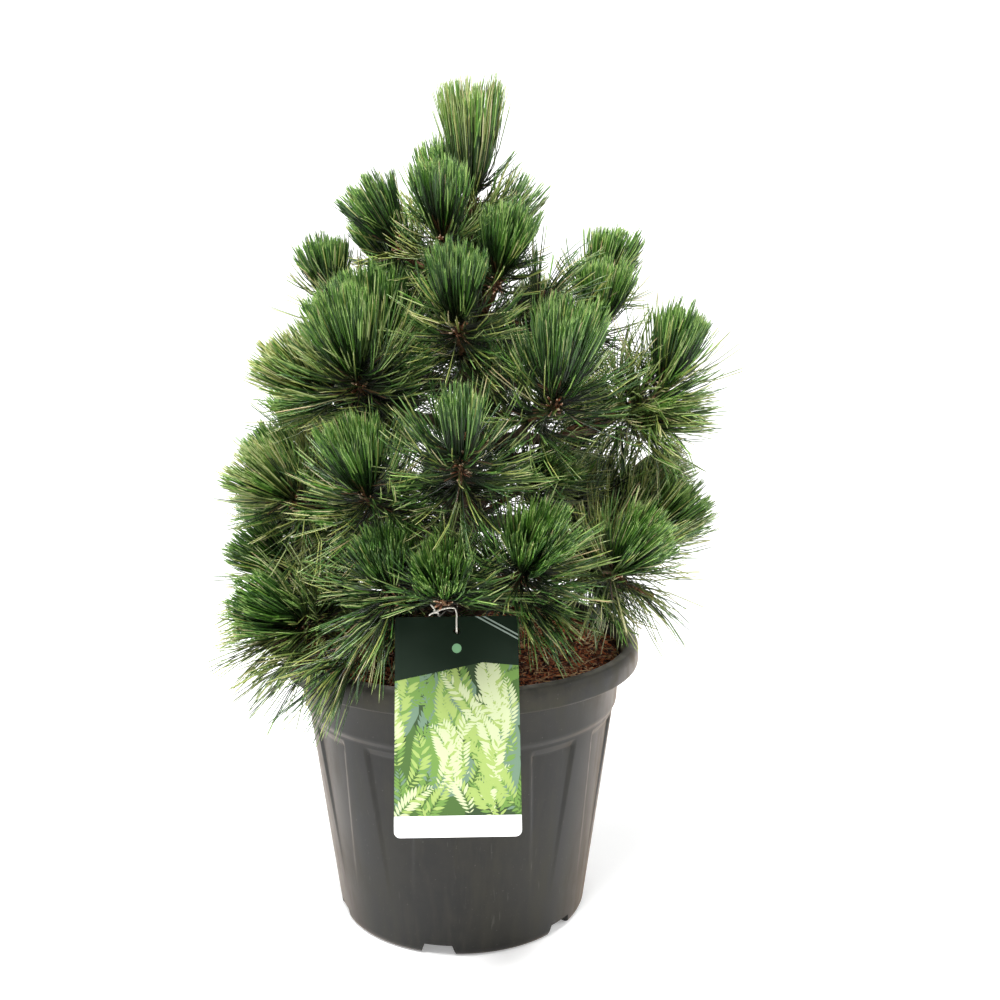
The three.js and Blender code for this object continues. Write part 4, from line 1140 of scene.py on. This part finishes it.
def label_frame():
    """Where the card lies: X runs across it, Y up along it, and Z out of its face."""
    tilt = radians(LABEL_TILT)
    across, up = Vector((1, 0, 0)), Vector((0, sin(tilt), cos(tilt)))
    out = across.cross(up)
    turn = Matrix.Rotation(radians(LABEL_TURN), 3, out)
    across, up = turn @ across, turn @ up
    touch = Vector((LABEL_SHIFT, -RIM_RADIUS - 0.8, POT_HEIGHT - 6))
    place = Matrix((across, up, out)).transposed().to_4x4()
    place.translation = touch + up * (LABEL_ABOVE_RIM - LABEL_LENGTH / 2) + out * LABEL_THICKNESS / 2
    return place


def slab(name, outlines, finish, low, thick, *nodes):
    """Thin plates on the card, one for each outline; outlines that share an edge join."""
    shape = bmesh.new()
    for number, outline in enumerate(outlines):
        rise = low + PRINT_STEP * number * (len(outlines) > 2)
        shape.faces.new([shape.verts.new((x, y, rise)) for x, y in outline])
    bmesh.ops.remove_doubles(shape, verts=shape.verts, dist=1e-5)
    made = bmesh.ops.extrude_face_region(shape, geom=shape.faces[:])["geom"]
    moved = [vert for vert in made if isinstance(vert, bmesh.types.BMVert)]
    bmesh.ops.translate(shape, vec=(0, 0, thick), verts=moved)
    bmesh.ops.recalc_face_normals(shape, faces=shape.faces)
    piece = mesh_object(name, ())
    shape.to_mesh(piece.data)
    shape.free()
    piece.data.transform(label_frame())
    piece.data.materials.append(finish)
    place_in_frame(piece, "label", *nodes)


def ink(name, color):
    return plain(name, color, 0.5, Specular_IOR_Level=0.2)


def clipped(outline, planes):
    """The part of an outline inside all the half planes a x + b y <= c."""
    for a, b, c in planes:
        kept = []
        for (x0, y0), (x1, y1) in zip(outline, outline[1:] + outline[:1]):
            first, second = c - a * x0 - b * y0, c - a * x1 - b * y1
            if first >= 0:
                kept.append((x0, y0))
            if first * second < 0:
                share = first / (first - second)
                kept.append((x0 + (x1 - x0) * share, y0 + (y1 - y0) * share))
        outline = kept
    return outline


def arc(middle_y, radius, turns):
    return [(radius * cos(a), middle_y + radius * sin(a)) for a in turns]


def frond(foot, lean, long, bow, leaflet):
    """A stem with leaflets in pairs, as flat outlines."""
    steps = max(5, int(long / 3.4))
    outlines, at, way = [], np.array(foot, float), lean
    for step in range(steps):
        share = step / steps
        reach = leaflet * (sin(pi * (0.12 + 0.86 * share)) * 0.9 + 0.1)
        for sign in (-1, 1):
            turn = way + sign * (1.05 - 0.45 * share)
            run = np.array([sin(turn), cos(turn)])
            side = np.array([run[1], -run[0]]) * reach * 0.13
            outlines.append([tuple(at + run * reach * out + side * aside) for out, aside in LEAFLET])
        at = at + np.array([sin(way), cos(way)]) * long / steps
        way += bow / steps
    return outlines


def make_label():
    """The card and its printing: header, panel, disc, stripes, and a picture of leafy stems."""
    half, top, floor = LABEL_WIDTH / 2, LABEL_LENGTH / 2, WHITE_STRIP - LABEL_LENGTH / 2
    half_turn = np.linspace(-pi / 2, pi / 2, 13)
    hole, print_hole = (arc(top - LABEL_HOLE_DOWN, r, half_turn) for r in (LABEL_HOLE, LABEL_HOLE - SLEEVE))
    corner = arc(LABEL_CORNER - top, LABEL_CORNER, np.linspace(-pi / 2, 0, 8))
    right = [(0, -top), *((half - LABEL_CORNER + x, y) for x, y in corner)]
    right += [(half, top), (0, top), *hole[::-1]]
    card = plain("white_label_card", tint(250, 250, 248), 0.35)
    left = [(-x, y) for x, y in right]
    slab("hang_card", [right, left], card, -LABEL_THICKNESS / 2, LABEL_THICKNESS, "label")

    face, depth = LABEL_THICKNESS / 2 - 0.01, LABEL_THICKNESS / 2 + 0.02
    edge = [(x, top - down) for x, down in zip((-half, HEADER_PEAK_X, half), HEADER_DOWN)]
    rise, fall = ((y1 - y0) / (x1 - x0) for (x0, y0), (x1, y1) in zip(edge, edge[1:]))
    between = (0, edge[0][1] + rise * half)
    wide, over = half + SLEEVE, top + SLEEVE
    right = [between, edge[1], edge[2], (wide, edge[2][1]), (wide, over), (0, over), *print_hole[::-1]]
    left = [(0, over), (-wide, over), (-wide, edge[0][1]), between, *((-x, y) for x, y in print_hole)]
    slab("label_header", [right, left], ink("dark_green_ink", tint(11, 29, 15)), -depth, 2 * depth)
    panel = [(-half, floor), (half, floor), edge[2], edge[1], between, edge[0]]
    slab("label_panel", [panel], ink("mid_green_ink", tint(66, 92, 46)), face, 0.03)
    disc = arc(top - DISC_DOWN, DISC_RADIUS, np.arange(24) * pi / 12)
    slab("label_disc", [disc], ink("pale_green_ink", tint(128, 176, 132)), face, 0.05)
    ends = ((18, 82), (25, 86))
    stripes = [[(start, top), (start + 3, top), (half, end), (half, end - 1.6)] for start, end in ends]
    slab("label_stripes", stripes, ink("silver_ink", tint(150, 164, 154)), face, 0.05)

    dice = np.random.default_rng(12)
    planes = [(1, 0, half), (-1, 0, half), (0, -1, -floor)]
    planes += [(-rise, 1, edge[0][1] + rise * half), (-fall, 1, edge[1][1] - fall * edge[1][0])]
    names = list(PICTURE_INKS)
    pictures = {name: [] for name in names}
    turns = np.arange(18) * pi / 9
    for name in names[:2]:
        for _ in range(BLOTS):
            x, y = dice.uniform(-half, half), dice.uniform(floor, top - 50)
            wide, high = dice.uniform(8, 24, 2)
            wobble = 1 + 0.15 * np.sin(turns * 3 + dice.uniform(0, 6))
            blot = [(x + wide * w * cos(a), y + high * w * sin(a)) for a, w in zip(turns, wobble)]
            pictures[name].append(clipped(blot, planes))
    for number in range(FRONDS):
        foot = (dice.uniform(-half - 6, half + 6), dice.uniform(floor - 14, top - 74))
        lean = dice.normal(0, 0.3) - foot[0] * 0.006
        for leaf in frond(foot, lean, dice.uniform(34, 70), dice.normal(0, 0.7), dice.uniform(9, 17)):
            name = names[1 + number % 3 + (dice.uniform() < 0.7)]
            pictures[name].append(clipped(leaf, planes))
    for layer, (name, color) in enumerate(PICTURE_INKS.items()):
        outlines = [outline for outline in pictures[name] if len(outline) > 2]
        slab("label_" + name, outlines, ink(name, color), face, 0.04 + 0.04 * layer)


def smooth_route(points):
    """A smooth line through the points, in equal steps."""
    points = np.asarray(points, float)
    ends = np.concatenate([[2 * points[0] - points[1]], points, [2 * points[-1] - points[-2]]])
    t = np.linspace(0, 1, 12, endpoint=False)[:, None]
    parts = []
    for a, b, c, d in zip(ends, ends[1:], ends[2:], ends[3:]):
        curl = (2 * a - 5 * b + 4 * c - d) * t**2 + (3 * b - a - 3 * c + d) * t**3
        parts.append(0.5 * (2 * b + (c - a) * t + curl))
    return evenly(np.concatenate([*parts, points[-1:]]), TIE_POINTS)


def make_tie(bough):
    """The white string: through the hole, over the card's edge, knotted, and round a bough."""
    place = np.array(label_frame())
    line = evenly(bough, 101)
    at = round(100 * TIE_PLACE)
    middle, way = line[at], unit(line[at + 1] - line[at - 1])
    radius = BOUGH_RADIUS + (BOUGH_TIP_RADIUS - BOUGH_RADIUS) * TIE_PLACE + TIE_RADIUS + 1

    def on_label(across, down, out):
        return place[:3, :3] @ np.array([across, LABEL_LENGTH / 2 - down, out]) + place[:3, 3]

    route = [middle + unit(np.array([-1, 0, -1.0])) * radius, *(on_label(*point) for point in TIE_ROUTE)]
    ring = middle + radius * turned_about(way, np.linspace(0, 2 * pi, 25))
    knot = on_label(*TIE_KNOT)
    spin = np.linspace(0, 5 * pi, 40)[:, None]
    wound = knot + np.concatenate([1.9 * np.cos(spin), 1.5 * np.sin(spin), 1.4 * np.sin(spin * 0.62)], 1)
    tails = [knot + np.array(end) for end in TIE_TAILS]
    tails = [[knot, (knot + end) / 2 + (0, -1, 1), end] for end in tails]
    strands = np.array([smooth_route(points) for points in (route, ring, wound, *tails)])
    tie = strand_object("tie_string", strands, np.full(strands.shape[:2], TIE_RADIUS))
    string = plain("white_tie_string", tint(232, 228, 216), 0.6)
    grow(tie, strand_tree(), Sides=10, **{zone: string for zone in ZONE_NAMES})
    place_in_frame(tie, "tie", "label_tie")


# Camera, light and floor


def set_stage():
    """The camera, a pale floor that sweeps up behind the plant, a studio world and three softboxes."""
    scene = bpy.context.scene
    camera = link("camera", bpy.data.cameras.new("camera"))
    camera.location = POT_AXIS + Vector(CAMERA_PLACE)
    camera.rotation_euler = (radians(90 - CAMERA_DOWN), 0, 0)
    camera.data.lens, camera.data.sensor_width = CAMERA_LENS, CAMERA_SENSOR
    camera.data.clip_start, camera.data.clip_end = 0.05, 50
    scene.camera = camera
    scene.view_settings.view_transform = "Standard"

    curve = [(1.6 + sin(a), 1 - cos(a)) for a in np.linspace(0, pi / 2, 13)[1:]]
    sweep = [(-3.5, 0), (1.6, 0), *curve, (2.6, 5)]
    points = [(x, y, z) for y, z in sweep for x in (-6, 6)]
    floor = mesh_object("floor", points, [(k, k + 1, k + 3, k + 2) for k in range(0, len(points) - 2, 2)])
    floor.data.shade_smooth()
    paper = plain("pale_paper", (0.9, 0.9, 0.9, 1), 0.9, Emission_Color=(1, 1, 1, 1), Emission_Strength=0.3)
    floor.data.materials.append(paper)

    scene.world = bpy.data.worlds.new("studio")
    scene.world.use_nodes = True
    background = scene.world.node_tree.nodes["Background"]
    background.inputs["Color"].default_value = (1, 1, 1, 1)
    background.inputs["Strength"].default_value = 0.43
    for name, place, size, power in SOFTBOXES:
        lamp = link(name, bpy.data.lights.new(name, "AREA"))
        lamp.data.size, lamp.data.energy = size, power
        lamp.location = place
        lamp.rotation_euler = (Vector((0, 0, 0.4)) - Vector(place)).to_track_quat("-Z", "Y").to_euler()


make_pot()
make_soil()
boughs = make_plant()
make_label()
make_tie(boughs[TIE_BOUGH])
set_stage()
